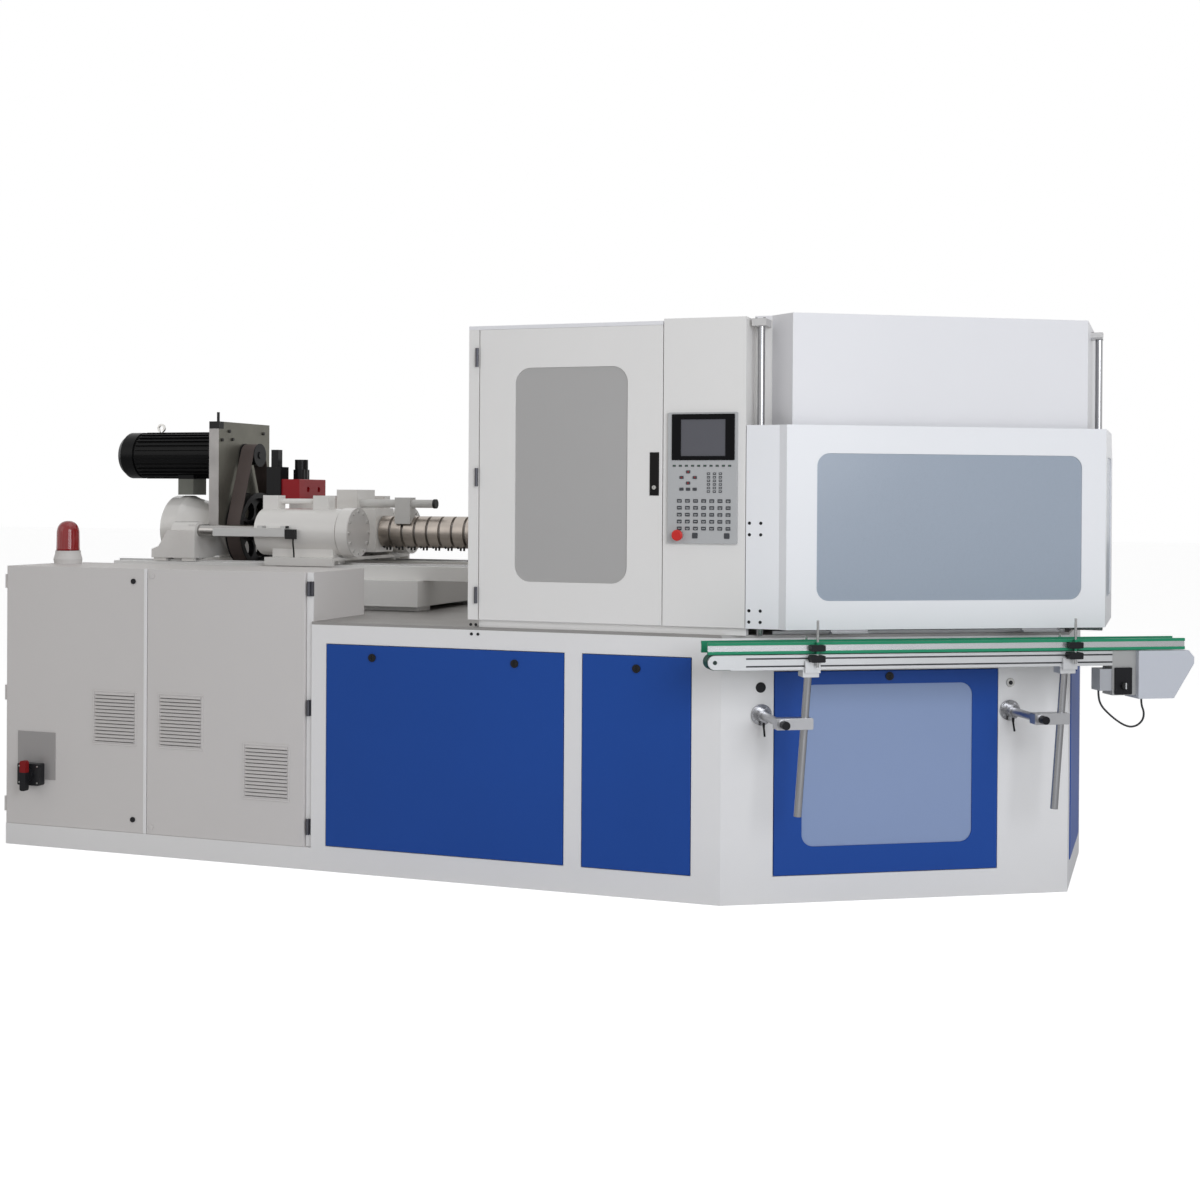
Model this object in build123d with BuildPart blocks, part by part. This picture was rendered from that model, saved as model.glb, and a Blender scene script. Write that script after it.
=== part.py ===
from build123d import *
import os
from math import cos, pi, radians, sin, tan

# Injection blow moulding machine with a three-station index table.
# Millimetres. The origin is on the floor under the table's axis, +X runs along the
# machine away from the injection unit, -Y is the operator's side and +Z is up.
os.makedirs("parts", exist_ok=True)

# Main plan of the base: a long box that ends in half a hexagon
half_width = 1140.0
left_end = -3565.0
corner_x = -190.0
slant_run = 1466.0
slant_turn = 30.0
deck_top = 1062.0
deck_thickness = 12.0
base_wall = 30.0
tray_thickness = 12.0
sheet_gap = 3.0
close_gap = 0.3

# Electric cabinet
cabinet_right = -1996.0
cabinet_depth = 485.0
cabinet_top = 1271.0
cabinet_wall = 20.0
plinth_height = 95.0
door_thickness = 20.0
door_split = -2817.0

# Enclosure, hood and sliding guard
enclosure_left = -1268.0
enclosure_bottom = 1093.0
enclosure_top = 2285.0
column_top = 2308.0
hood_top = 2323.0
hood_bottom = 1860.0
enclosure_overhang = 10.0
enclosure_wall = 20.0
column_left = -430.0
column_right = -95.0
hood_offset = 100.0
hood_start = 252.0
guard_offset = 160.0
guard_start = 212.0
guard_wall = 25.0
guard_bottom = 1092.0
guard_top = 1885.0
guard_wing_end = 100.0
rod_radius = 14.5

# Injection unit, on the machine's centre line
axis_height = 1424.0
beam_top = 1270.0
rail_height = 10.0
saddle_top = 1304.0
cylinder_spread = 297.0
cylinder_radius = 113.0
cylinder_left = -2715.0
cylinder_right = -2280.0
flange_radius = 118.0
piston_rod_radius = 30.0
barrel_radius = 60.0
screw_radius = 27.0
band_radius = 78.0
motor_axis_height = 1803.0
motor_radius = 121.0
plate_left = -3067.0
plate_right = -3012.0
pulley_left = -3005.0
pulley_width = 80.0
big_pulley_radius = 180.0
small_pulley_radius = 50.0
belt_thickness = 6.0
belt_width = 74.0

# Index table and presses
mould_inner = 255.0
mould_outer = 400.0
mould_half = 230.0
press_open = 120.0
table_lift = 40.0
core_radius = 9.0
core_pitch = 80.0

# Take-out conveyor, measured from the slanted face: run along it and gap out from it
conveyor_back = 220.0
conveyor_front = 300.0
conveyor_start = -105.0
conveyor_end = 1500.0
conveyor_axis_height = 984.0
conveyor_half_height = 30.0
arm_height = 748.0
arm_runs = (163.0, 1207.0)
arm_radius = 16.0
post_shift = 92.0
post_radius = 15.0
post_lean = 4.0

slant_x = cos(radians(slant_turn))
slant_y = sin(radians(slant_turn))
end_x = corner_x + slant_run * slant_x
front_plane = half_width + enclosure_overhang
deck_bottom = deck_top - deck_thickness
rail_top = beam_top + rail_height

front_face = Plane(origin=(0, -half_width, 0), x_dir=(1, 0, 0), z_dir=(0, -1, 0))
slant_face = Plane(
    origin=(corner_x, -half_width, 0),
    x_dir=(slant_x, slant_y, 0),
    z_dir=(slant_y, -slant_x, 0),
)
end_face = Plane(origin=(end_x, 0, 0), x_dir=(0, 1, 0), z_dir=(1, 0, 0))
enclosure_face = front_face.offset(enclosure_overhang)


def slant_point(run, gap):
    """Plan point at a run along the slanted face and a gap out from it."""
    return (
        corner_x + run * slant_x + gap * slant_y,
        -half_width + run * slant_y - gap * slant_x,
    )


def slant_run_at(x, gap):
    """Run along the slanted face at which a line offset by gap reaches x."""
    return (x - corner_x - gap * slant_y) / slant_x


def slab(face, x0, x1, z0, z1, back, front, corner=0.0):
    """Flat piece on a face, between two offsets from it."""
    with BuildPart() as piece:
        with BuildSketch(face.offset(back)):
            with Locations(((x0 + x1) / 2, (z0 + z1) / 2)):
                if corner > 0:
                    RectangleRounded(x1 - x0, z1 - z0, corner)
                else:
                    Rectangle(x1 - x0, z1 - z0)
        extrude(amount=front - back)
    return piece.part


def block(x0, x1, y0, y1, z0, z1):
    """Rectangular block between two corners."""
    with BuildPart() as piece:
        with BuildSketch(Plane.XY.offset(z0)):
            with Locations(((x0 + x1) / 2, (y0 + y1) / 2)):
                Rectangle(x1 - x0, y1 - y0)
        extrude(amount=z1 - z0)
    return piece.part


def bar(start, end, radius):
    """Round bar between two points."""
    with BuildPart() as piece:
        line = Vector(*end) - Vector(*start)
        with BuildSketch(Plane(origin=start, z_dir=line)):
            Circle(radius)
        extrude(amount=line.length)
    return piece.part


def on_slant(run, gap, height):
    """Point in space from its run, gap and height."""
    x, y = slant_point(run, gap)
    return (x, y, height)


def save(piece, name):
    """Label a finished piece and write it."""
    piece.label = name
    export_step(piece, f"parts/{name}.step")


def outline(left, front, slant_gap, end_gap):
    """Half-hexagon plan, each side moved out by its own amount."""
    run_start = (half_width - front + slant_gap * slant_x) / slant_y
    run_end = slant_run_at(end_x + end_gap, slant_gap)
    start = slant_point(run_start, slant_gap)
    end = slant_point(run_end, slant_gap)
    return [
        (left, -front),
        start,
        end,
        (end[0], -end[1]),
        (start[0], -start[1]),
        (left, front),
    ]


# Base: a welded box with an oil tray as its floor, a plinth under the cabinet and
# a rebated opening behind each blue panel.
cabinet_back = -half_width + cabinet_depth
panel_bottom = 110.0
panel_top = 968.0
panel_thickness = 20.0
panel_proud = 4.0
rebate = 22.0
wide_panel = (-1923.0, -848.0)
narrow_panel = (-767.0, -313.0)
window_panel_run = (217.0, 1156.0)
window_panel_top = 916.0
end_panel_half = 300.0
panel_openings = (
    (front_face, wide_panel[0], wide_panel[1], panel_top),
    (front_face, narrow_panel[0], narrow_panel[1], panel_top),
    (slant_face, window_panel_run[0], window_panel_run[1], window_panel_top),
    (end_face, -end_panel_half, end_panel_half, window_panel_top),
)

with BuildPart() as base_frame:
    with BuildSketch():
        Polygon(*outline(left_end, half_width, 0, 0), align=None)
    extrude(amount=plinth_height)
    with BuildSketch(Plane.XY.offset(plinth_height)):
        Polygon(*outline(left_end, half_width, 0, 0), align=None)
        with Locations(((left_end + cabinet_right) / 2, -half_width + cabinet_depth / 2)):
            Rectangle(cabinet_right - left_end, cabinet_depth, mode=Mode.SUBTRACT)
    extrude(amount=deck_bottom - plinth_height)
    with BuildSketch(Plane.XY.offset(tray_thickness)):
        Polygon(
            *outline(left_end + base_wall, half_width - base_wall, -base_wall, -base_wall),
            align=None,
        )
        with Locations(((left_end + cabinet_right) / 2, -half_width + cabinet_depth / 2)):
            Rectangle(
                cabinet_right - left_end + 2 * base_wall,
                cabinet_depth + 2 * base_wall,
                mode=Mode.SUBTRACT,
            )
    extrude(amount=deck_top, mode=Mode.SUBTRACT)
    with BuildSketch(Plane.XY.offset(tray_thickness)):
        with Locations(((left_end + cabinet_right) / 2, -half_width + cabinet_depth / 2)):
            Rectangle(
                cabinet_right - left_end - 2 * base_wall, cabinet_depth - 2 * base_wall
            )
    extrude(amount=plinth_height, mode=Mode.SUBTRACT)
    for face, x0, x1, top in panel_openings:
        seat = panel_proud - panel_thickness
        opening = slab(
            face, x0 - sheet_gap, x1 + sheet_gap, panel_bottom - sheet_gap,
            top + sheet_gap, seat, 1,
        )
        hatch = slab(
            face, x0 + rebate, x1 - rebate, panel_bottom + rebate, top - rebate,
            -base_wall - 1, 1,
        )
        add(opening, mode=Mode.SUBTRACT)
        add(hatch, mode=Mode.SUBTRACT)
        if face is not end_face:
            add(opening.mirror(Plane.XZ), mode=Mode.SUBTRACT)
            add(hatch.mirror(Plane.XZ), mode=Mode.SUBTRACT)
    # Bores through the slanted wall for the conveyor's arms
    for run in arm_runs:
        start = on_slant(run, -base_wall - 1, arm_height)
        add(bar(start, on_slant(run, 1, arm_height), arm_radius + close_gap), mode=Mode.SUBTRACT)
save(base_frame.part, "base_frame")

# Deck: the ground steel plate that the injection unit and the presses stand on
column_radius = 90.0
with BuildPart() as deck_plate:
    with BuildSketch(Plane.XY.offset(deck_bottom)):
        Polygon(*outline(left_end, half_width, 0, 0), align=None)
        with Locations(((left_end + cabinet_right) / 2, -half_width + cabinet_depth / 2)):
            Rectangle(cabinet_right - left_end, cabinet_depth, mode=Mode.SUBTRACT)
        Circle(column_radius + 10, mode=Mode.SUBTRACT)
    extrude(amount=deck_thickness)
save(deck_plate.part, "deck_plate")

# Blue panels: folded trays that sit in their rebates, each held by quarter-turn locks
lock_radius = 17.0
lock_depth = 5.0


def blue_panel(face, x0, x1, top, lock_spots, lock_height):
    """Panel with rounded long edges and its round locks."""
    with BuildPart() as piece:
        with BuildSketch(face.offset(panel_proud - panel_thickness)):
            with Locations(((x0 + x1) / 2, (panel_bottom + top) / 2)):
                Rectangle(x1 - x0, top - panel_bottom)
        extrude(amount=panel_thickness)
        outer = piece.faces().sort_by(Axis(face.origin, face.z_dir))[-1]
        chamfer(outer.edges(), 2)
        with BuildSketch(face.offset(panel_proud)):
            with Locations(*[(spot, lock_height) for spot in lock_spots]):
                Circle(lock_radius)
        extrude(amount=lock_depth)
        with BuildSketch(face.offset(panel_proud + lock_depth)):
            with Locations(*[(spot, lock_height) for spot in lock_spots]):
                SlotOverall(lock_radius * 1.3, 5, rotation=90)
        extrude(amount=-2, mode=Mode.SUBTRACT)
    return piece.part


front_panel_wide = blue_panel(front_face, *wide_panel, panel_top, (-1707, -1061), 918)
save(front_panel_wide, "front_panel_wide")
front_panel_narrow = blue_panel(front_face, *narrow_panel, panel_top, (-538,), 918)
save(front_panel_narrow, "front_panel_narrow")
end_panel = blue_panel(
    end_face, -end_panel_half, end_panel_half, window_panel_top, (0,), 880
)
save(end_panel, "end_panel")

# Window panel on the slanted face, with its tinted pane in a rounded frame
pane_run = (331.0, 1046.0)
pane_heights = (221.0, 863.0)
pane_corner = 50.0
pane_thickness = 6.0
window_blank = blue_panel(slant_face, *window_panel_run, window_panel_top, (693,), 893)
with BuildPart() as window_panel:
    add(window_blank)
    add(
        slab(slant_face, *pane_run, *pane_heights, -base_wall, base_wall, pane_corner),
        mode=Mode.SUBTRACT,
    )
save(window_panel.part, "window_panel")
window_pane = slab(
    slant_face, pane_run[0] + close_gap, pane_run[1] - close_gap,
    pane_heights[0] + close_gap, pane_heights[1] - close_gap,
    -pane_thickness, 0, pane_corner,
)
save(window_pane, "window_pane")

# Rear panels: the same three openings on the far side
with BuildPart() as rear_panels:
    add(front_panel_wide.mirror(Plane.XZ))
    add(front_panel_narrow.mirror(Plane.XZ))
    add(window_blank.mirror(Plane.XZ))
save(rear_panels.part, "rear_panels")

# Electric cabinet: sheet box, open at the front, with a centre post
cabinet_front = -half_width + door_thickness
with BuildPart() as electric_cabinet:
    with BuildSketch(Plane.XY.offset(plinth_height)):
        with Locations(
            ((left_end + cabinet_right) / 2, (cabinet_front + cabinet_back) / 2)
        ):
            Rectangle(cabinet_right - left_end, cabinet_back - cabinet_front)
    extrude(amount=cabinet_top - plinth_height)
    add(
        block(
            left_end + cabinet_wall, door_split - cabinet_wall,
            cabinet_front - 1, cabinet_back - cabinet_wall,
            plinth_height + cabinet_wall, cabinet_top - cabinet_wall,
        ),
        mode=Mode.SUBTRACT,
    )
    add(
        block(
            door_split + cabinet_wall, cabinet_right - cabinet_wall,
            cabinet_front - 1, cabinet_back - cabinet_wall,
            plinth_height + cabinet_wall, cabinet_top - cabinet_wall,
        ),
        mode=Mode.SUBTRACT,
    )
    add(
        block(
            door_split - cabinet_wall - 1, door_split + cabinet_wall + 1,
            cabinet_front + 60, cabinet_back - cabinet_wall,
            plinth_height + cabinet_wall, cabinet_top - cabinet_wall,
        ),
        mode=Mode.SUBTRACT,
    )
    edge = electric_cabinet.edges().filter_by(Axis.X).group_by(Axis.Z)[-1]
    chamfer(edge.sort_by(Axis.Y)[0], 4)
save(electric_cabinet.part, "electric_cabinet")

# Cabinet doors: folded pans with pressed louvres, a relieved back and round locks
vent_width = 206.0
vent_rows = 14
vent_pitch = 15.8
louvre_depth = 7.0
door_skin = 4.0


def cabinet_door(x0, x1, vents, locks):
    """Door leaf with louvred vents given by their centres, and quarter-turn locks."""
    height = cabinet_top - plinth_height
    with BuildPart() as piece:
        with BuildSketch(front_face.offset(-door_thickness)):
            with Locations(((x0 + x1) / 2, plinth_height + height / 2)):
                Rectangle(x1 - x0, height)
        extrude(amount=door_thickness)
        rim = piece.faces().sort_by(Axis.Y)[0].edges()
        chamfer(rim, 3)
        with BuildSketch(front_face.offset(-door_thickness)):
            with Locations(((x0 + x1) / 2, plinth_height + height / 2)):
                Rectangle(x1 - x0 - 60, height - 60)
        extrude(amount=door_thickness - door_skin, mode=Mode.SUBTRACT)
        for vent_x, vent_z in vents:
            for row in range(vent_rows):
                z = vent_z + (row - (vent_rows - 1) / 2) * vent_pitch
                with BuildSketch(Plane.YZ.offset(vent_x - vent_width / 2)):
                    with BuildLine():
                        Polyline(
                            (-half_width, z + vent_pitch * 0.4),
                            (-half_width - louvre_depth, z - vent_pitch * 0.1),
                            (-half_width, z - vent_pitch * 0.1),
                            close=True,
                        )
                    make_face()
                extrude(amount=vent_width)
            slots = [
                (vent_x, vent_z + (row - vent_rows / 2) * vent_pitch + 2)
                for row in range(vent_rows)
            ]
            with BuildSketch(front_face):
                with Locations(*slots):
                    Rectangle(vent_width, 3)
            extrude(amount=-door_skin, mode=Mode.SUBTRACT)
        with BuildSketch(front_face):
            with Locations(*locks):
                Circle(lock_radius * 0.7)
        extrude(amount=lock_depth)
    return piece.part


left_leaf = cabinet_door(
    left_end, door_split - sheet_gap / 2, ((-2983.0, 604.0),),
    ((-2887.0, 1214.0), (-2885.0, 155.0)),
)
# The left door carries the mains isolator: its backing plate and switch body
isolator_x = -3410.0
isolator_z = 331.0
with BuildPart() as cabinet_door_left:
    add(left_leaf)
    add(slab(front_face, -3497, -3296, 306, 520, 0, 4))
    add(slab(front_face, -3469, -3352, 282, 380, 4, 44, 6))
save(cabinet_door_left.part, "cabinet_door_left")
right_door = cabinet_door(
    door_split + sheet_gap / 2, -2030.0, ((-2644.0, 604.0), (-2214.0, 407.0)), (
        (-2790.0, 1240.0), (-2790.0, 130.0),
    ),
)
save(right_door, "cabinet_door_right")

# Rotary handle of the mains isolator
with BuildPart() as isolator_handle:
    with BuildSketch(front_face.offset(44 + close_gap)):
        with Locations((isolator_x, isolator_z)):
            Circle(30)
    extrude(amount=16)
    add(slab(front_face, isolator_x - 16, isolator_x + 16, 262, 398, 60, 84, 10))
save(isolator_handle.part, "isolator_handle")

# Beacon: white foot with a fluted red lens
beacon_x = -3470.0
beacon_y = -822.0
with BuildPart() as beacon_base:
    with BuildSketch(Plane.XZ.offset(-beacon_y)):
        with BuildLine():
            Polyline(
                (beacon_x, cabinet_top), (beacon_x + 62, cabinet_top),
                (beacon_x + 66, cabinet_top + 22), (beacon_x + 58, cabinet_top + 50),
                (beacon_x + 58, cabinet_top + 62), (beacon_x, cabinet_top + 62),
                close=True,
            )
        make_face()
    revolve(axis=Axis((beacon_x, beacon_y, 0), (0, 0, 1)))
save(beacon_base.part, "beacon_base")
with BuildPart() as beacon_lens:
    with BuildSketch(Plane.XZ.offset(-beacon_y)):
        with BuildLine():
            Polyline(
                (beacon_x, cabinet_top + 62), (beacon_x + 54, cabinet_top + 62),
                (beacon_x + 48, cabinet_top + 150), (beacon_x + 36, cabinet_top + 182),
                (beacon_x + 18, cabinet_top + 200), (beacon_x, cabinet_top + 204),
                close=True,
            )
        make_face()
    revolve(axis=Axis((beacon_x, beacon_y, 0), (0, 0, 1)))
save(beacon_lens.part, "beacon_lens")

# Front enclosure: left side wall with the barrel's opening, front frame round the
# door, and the control column with its recess for the left guide rod
door_x = (-1220.0, -434.0)
door_frame = 22.0
recess_depth = 140.0
recess_width = 70.0
sill_inset = 40.0
barrel_port = 150.0
wall_line = -front_plane
with BuildPart() as front_enclosure:
    # Front frame behind the door, with its opening
    add(
        slab(
            enclosure_face, enclosure_left, column_left, enclosure_bottom, enclosure_top,
            -door_frame - enclosure_wall, -door_frame,
        )
    )
    add(
        slab(
            enclosure_face, door_x[0] + 60, door_x[1] - 60, enclosure_bottom + 60,
            enclosure_top - 60, -door_frame - enclosure_wall - 1, 1,
        ),
        mode=Mode.SUBTRACT,
    )
    # Corner post left of the door
    add(
        slab(
            enclosure_face, enclosure_left, door_x[0] - sheet_gap, enclosure_bottom,
            enclosure_top, -door_frame, 0,
        )
    )
    # Left side wall from the front to the centre line
    add(
        block(
            enclosure_left, enclosure_left + enclosure_wall, wall_line, -close_gap,
            enclosure_bottom, enclosure_top,
        )
    )
    # Control column: a box open to the inside, and the recess beside it
    add(
        block(
            column_left, column_right, wall_line, wall_line + recess_depth + 60,
            enclosure_bottom, column_top,
        )
    )
    add(
        block(
            column_left + enclosure_wall, column_right - enclosure_wall,
            wall_line + enclosure_wall, wall_line + recess_depth + 61,
            enclosure_bottom - 1, column_top - enclosure_wall,
        ),
        mode=Mode.SUBTRACT,
    )
    add(
        block(
            column_right, column_right + recess_width,
            wall_line + recess_depth, wall_line + recess_depth + enclosure_wall,
            enclosure_bottom, column_top,
        )
    )
    # Sill that stands on the deck
    add(
        block(
            enclosure_left + sill_inset, column_right, wall_line + door_frame + 2,
            wall_line + door_frame + sill_inset, deck_top, enclosure_bottom,
        )
    )
    # Opening for the barrel in the side wall
    with BuildSketch(Plane.YZ.offset(enclosure_left - 1)):
        with Locations((0, axis_height)):
            Rectangle(2 * barrel_port, 2 * barrel_port)
    extrude(amount=enclosure_wall + 2, mode=Mode.SUBTRACT)
save(front_enclosure.part, "front_enclosure")

# Rear enclosure: the far walls, following the plan round to the end face
hood_end_gap = 70.0
sleeve_room = 30.0
enclosure_outer = outline(enclosure_left, front_plane, hood_offset, hood_end_gap)
enclosure_inner = outline(
    enclosure_left + enclosure_wall, front_plane - enclosure_wall,
    hood_offset - enclosure_wall, hood_end_gap - enclosure_wall,
)
hood_face_x = end_x + hood_end_gap
with BuildPart() as rear_enclosure:
    with BuildSketch(Plane.XY.offset(enclosure_bottom)):
        Polygon(*enclosure_outer, align=None)
        Polygon(*enclosure_inner, align=None, mode=Mode.SUBTRACT)
        with Locations((0, -front_plane)):
            Rectangle(
                4 * front_plane, 2 * front_plane, mode=Mode.SUBTRACT
            )
        with Locations((hood_face_x, 0)):
            Rectangle(
                4 * enclosure_wall, 2 * (guard_wing_end + sleeve_room), mode=Mode.SUBTRACT
            )
    extrude(amount=enclosure_top - enclosure_bottom)
    with BuildSketch(Plane.YZ.offset(enclosure_left - 1)):
        with Locations((0, axis_height)):
            Rectangle(2 * barrel_port, 2 * barrel_port)
    extrude(amount=enclosure_wall + 2, mode=Mode.SUBTRACT)
    # Sill that stands on the deck
    add(
        block(
            enclosure_left + sill_inset, corner_x, front_plane - door_frame - sill_inset,
            front_plane - door_frame - 2, deck_top, enclosure_bottom,
        )
    )
    add(
        block(
            enclosure_left + enclosure_wall, corner_x,
            front_plane - door_frame - sill_inset, front_plane - enclosure_wall,
            enclosure_bottom, enclosure_bottom + enclosure_wall,
        )
    )
save(rear_enclosure.part, "rear_enclosure")

# Upper hood: roof over everything, and the upper walls above the sliding guard
hood_left = column_right + recess_width
strip_start = (hood_left, wall_line + recess_depth)
strip_end = slant_point(hood_start, hood_offset)
hood_end = slant_point(slant_run_at(hood_face_x, hood_offset), hood_offset)
roof_thickness = 15.0
lid_notch = wall_line + recess_depth + 60 + sheet_gap
wall_points = [strip_start, strip_end, hood_end]
with BuildPart() as upper_hood:
    with BuildSketch(Plane.XY.offset(hood_bottom)):
        with BuildLine():
            Polyline(*wall_points, (hood_end[0], guard_wing_end))
            offset(amount=enclosure_wall, side=Side.LEFT)
        make_face()
    extrude(amount=hood_top - roof_thickness - hood_bottom)
    with BuildSketch(Plane.XY.offset(hood_top - roof_thickness)):
        Polygon(
            strip_start, strip_end, hood_end, (hood_end[0], -hood_end[1]),
            enclosure_outer[4], (column_right, front_plane), (column_right, strip_start[1]),
            align=None,
        )
    extrude(amount=roof_thickness)
    # Rim that closes the step down to the enclosure's top
    with BuildSketch(Plane.XY.offset(enclosure_top)):
        Polygon(
            (hood_end[0], guard_wing_end), enclosure_outer[3], enclosure_outer[4],
            (column_right, front_plane), (column_right, lid_notch),
            (column_right + enclosure_wall, lid_notch),
            (column_right + enclosure_wall, front_plane - enclosure_wall),
            enclosure_inner[4], enclosure_inner[3],
            (hood_end[0] - enclosure_wall, guard_wing_end),
            align=None,
        )
    extrude(amount=hood_top - roof_thickness - enclosure_top)
    # Lower lid over the door side
    with BuildSketch(Plane.XY.offset(enclosure_top)):
        Polygon(
            (enclosure_left, -front_plane), (column_left - sheet_gap, -front_plane),
            (column_left - sheet_gap, lid_notch), (column_right, lid_notch),
            (column_right, front_plane), (enclosure_left, front_plane),
            align=None,
        )
    extrude(amount=roof_thickness)
save(upper_hood.part, "upper_hood")

# Guide rods of the sliding guard, with their top brackets and the right foot bracket
left_rod = (-52.0, -1080.0)
right_rod = (hood_face_x + 32.0, -250.0)
rod_top = 2300.0
bracket_height = 25.0
with BuildPart() as guide_rods:
    add(bar((*left_rod, deck_top), (*left_rod, rod_top), rod_radius))
    foot_top = deck_top + 20
    add(bar((*right_rod, foot_top), (*right_rod, rod_top - 10), rod_radius))
    add(
        block(
            left_rod[0] - 32, hood_left - sheet_gap, left_rod[1] - 30, strip_start[1],
            rod_top - bracket_height, rod_top + 4,
        )
    )
    add(
        block(
            hood_face_x, right_rod[0] + rod_radius + 1, right_rod[1] - 32,
            right_rod[1] + 32, rod_top - 10 - bracket_height, rod_top - 6,
        )
    )
    add(
        block(
            end_x - 120, right_rod[0] + 22, right_rod[1] - 32, right_rod[1] + 32,
            deck_top, foot_top,
        )
    )
save(guide_rods.part, "guide_rods")

# Sliding guard: a folded shell round the corner, with two windows, slide bearings
# behind its wings and pull handles under its lower edge
wing_left = column_right + sheet_gap
guard_corner = slant_point(guard_start, guard_offset)
guard_far_x = right_rod[0] + rod_radius + sheet_gap + guard_wall
guard_far = slant_point(slant_run_at(guard_far_x, guard_offset), guard_offset)
wing_right = guard_corner[0] - 34.0
guard_window_run = (335.0, 1437.0)
guard_window_heights = (1204.0, 1776.0)
side_window = (guard_far[1] + 90, guard_wing_end - 90)
bearing_heights = (1140.0, 1480.0)
bearing_half = 40.0
guard_side = end_face.offset(guard_far_x - end_x)
guard_front = slant_face.offset(guard_offset)
with BuildPart() as guard_shell:
    with BuildSketch(Plane.XY.offset(guard_bottom)):
        with BuildLine():
            Polyline(
                (wing_left, wall_line), (wing_right, wall_line), guard_corner, guard_far,
                (guard_far_x, guard_wing_end),
            )
            offset(amount=guard_wall, side=Side.LEFT)
        make_face()
    extrude(amount=guard_top - guard_bottom)
    add(
        slab(
            guard_front, *guard_window_run, *guard_window_heights,
            -guard_wall - 1, 1, pane_corner,
        ),
        mode=Mode.SUBTRACT,
    )
    add(
        slab(
            guard_side, *side_window, *guard_window_heights,
            -guard_wall - 1, 1, pane_corner,
        ),
        mode=Mode.SUBTRACT,
    )
    with BuildSketch(Plane.YZ.offset(guard_far_x - guard_wall - 1)):
        with Locations((guard_wing_end, guard_top)):
            Rectangle(160, 160, rotation=45)
    extrude(amount=guard_wall + 2, mode=Mode.SUBTRACT)
    for height in bearing_heights:
        with BuildSketch(Plane.XY.offset(height - bearing_half)):
            with Locations(((left_rod[0]), (wall_line + guard_wall + left_rod[1] + 28) / 2)):
                Rectangle(70, left_rod[1] + 28 - wall_line - guard_wall)
            with Locations(left_rod):
                Circle(rod_radius + close_gap, mode=Mode.SUBTRACT)
        extrude(amount=2 * bearing_half)
    for height in bearing_heights:
        with BuildSketch(Plane.XY.offset(height - bearing_half)):
            back = right_rod[0] - rod_radius - 8
            front = guard_far_x - guard_wall
            with Locations(((back + front) / 2, right_rod[1])):
                Rectangle(front - back, 70)
            with Locations(right_rod):
                Circle(rod_radius + close_gap, mode=Mode.SUBTRACT)
        extrude(amount=2 * bearing_half)
    for run in (470.0, 1262.0):
        add(slab(guard_front, run - 75, run + 75, guard_bottom - 14, guard_bottom, -16, -4))
        add(slab(guard_front, run - 75, run + 75, guard_bottom - 14, guard_bottom - 8, -16, 12))
save(guard_shell.part, "guard_shell")
with BuildPart() as guard_windows:
    add(
        slab(
            guard_front, guard_window_run[0] + close_gap, guard_window_run[1] - close_gap,
            guard_window_heights[0] + close_gap, guard_window_heights[1] - close_gap,
            -10, -4, pane_corner,
        )
    )
    add(
        slab(
            guard_side, side_window[0] + close_gap, side_window[1] - close_gap,
            guard_window_heights[0] + close_gap, guard_window_heights[1] - close_gap,
            -10, -4, pane_corner,
        )
    )
save(guard_windows.part, "guard_windows")

# Enclosure door: a flat leaf with a rounded window, hinged on its left edge
door_window = (-1061.0, -580.0)
door_window_heights = (1255.0, 2125.0)
door_corner = 65.0
with BuildPart() as enclosure_door:
    with BuildSketch(enclosure_face.offset(-door_frame + close_gap)):
        with Locations(((door_x[0] + door_x[1]) / 2, (enclosure_bottom + enclosure_top) / 2)):
            Rectangle(door_x[1] - door_x[0], enclosure_top - enclosure_bottom)
    extrude(amount=door_frame - close_gap)
    chamfer(enclosure_door.faces().sort_by(Axis.Y)[0].edges(), 2)
    add(
        slab(
            enclosure_face, *door_window, *door_window_heights,
            -door_frame - 1, 1, door_corner,
        ),
        mode=Mode.SUBTRACT,
    )
    # Shallow seat for the flush handle
    add(
        slab(enclosure_face, -486, -447, 1608, 1780, -8, 1),
        mode=Mode.SUBTRACT,
    )
save(enclosure_door.part, "enclosure_door")
enclosure_window = slab(
    enclosure_face, door_window[0] + close_gap, door_window[1] - close_gap,
    door_window_heights[0] + close_gap, door_window_heights[1] - close_gap,
    -10, -4, door_corner,
)
save(enclosure_window, "enclosure_window")
with BuildPart() as enclosure_handle:
    with BuildSketch(enclosure_face.offset(-8 + close_gap)):
        with Locations((-467, 1694)):
            Rectangle(39 - 2 * close_gap - 1, 172 - 2 * close_gap)
    extrude(amount=12)
    chamfer(enclosure_handle.faces().sort_by(Axis.Y)[0].edges(), 3)
save(enclosure_handle.part, "enclosure_handle")

# Hinges: knuckles of the enclosure door and of the cabinet's two doors
knuckle_radius = 7.0
left_hinge_x = left_end - 9.0
left_hinge_y = -half_width + 12.0
with BuildPart() as door_hinges:
    for low, high in ((2133, 2210), (1642, 1717), (1161, 1229)):
        start = (door_x[0] - sheet_gap - knuckle_radius, wall_line - knuckle_radius)
        add(bar((*start, low), (*start, high), knuckle_radius))
    for low, high in ((1169, 1232), (657, 725), (149, 216)):
        start = (-2014.0, -half_width + 4)
        add(bar((*start, low), (*start, high), knuckle_radius))
        add(
            block(
                start[0] - 2, start[0] + 18, start[1] + 5, cabinet_front, low, high
            )
        )
        start = (left_hinge_x, left_hinge_y)
        add(bar((*start, low), (*start, high), knuckle_radius))
        add(
            block(
                left_hinge_x - 2, left_end, left_hinge_y + 6, left_hinge_y + 40,
                low, high,
            )
        )
save(door_hinges.part, "door_hinges")

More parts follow.
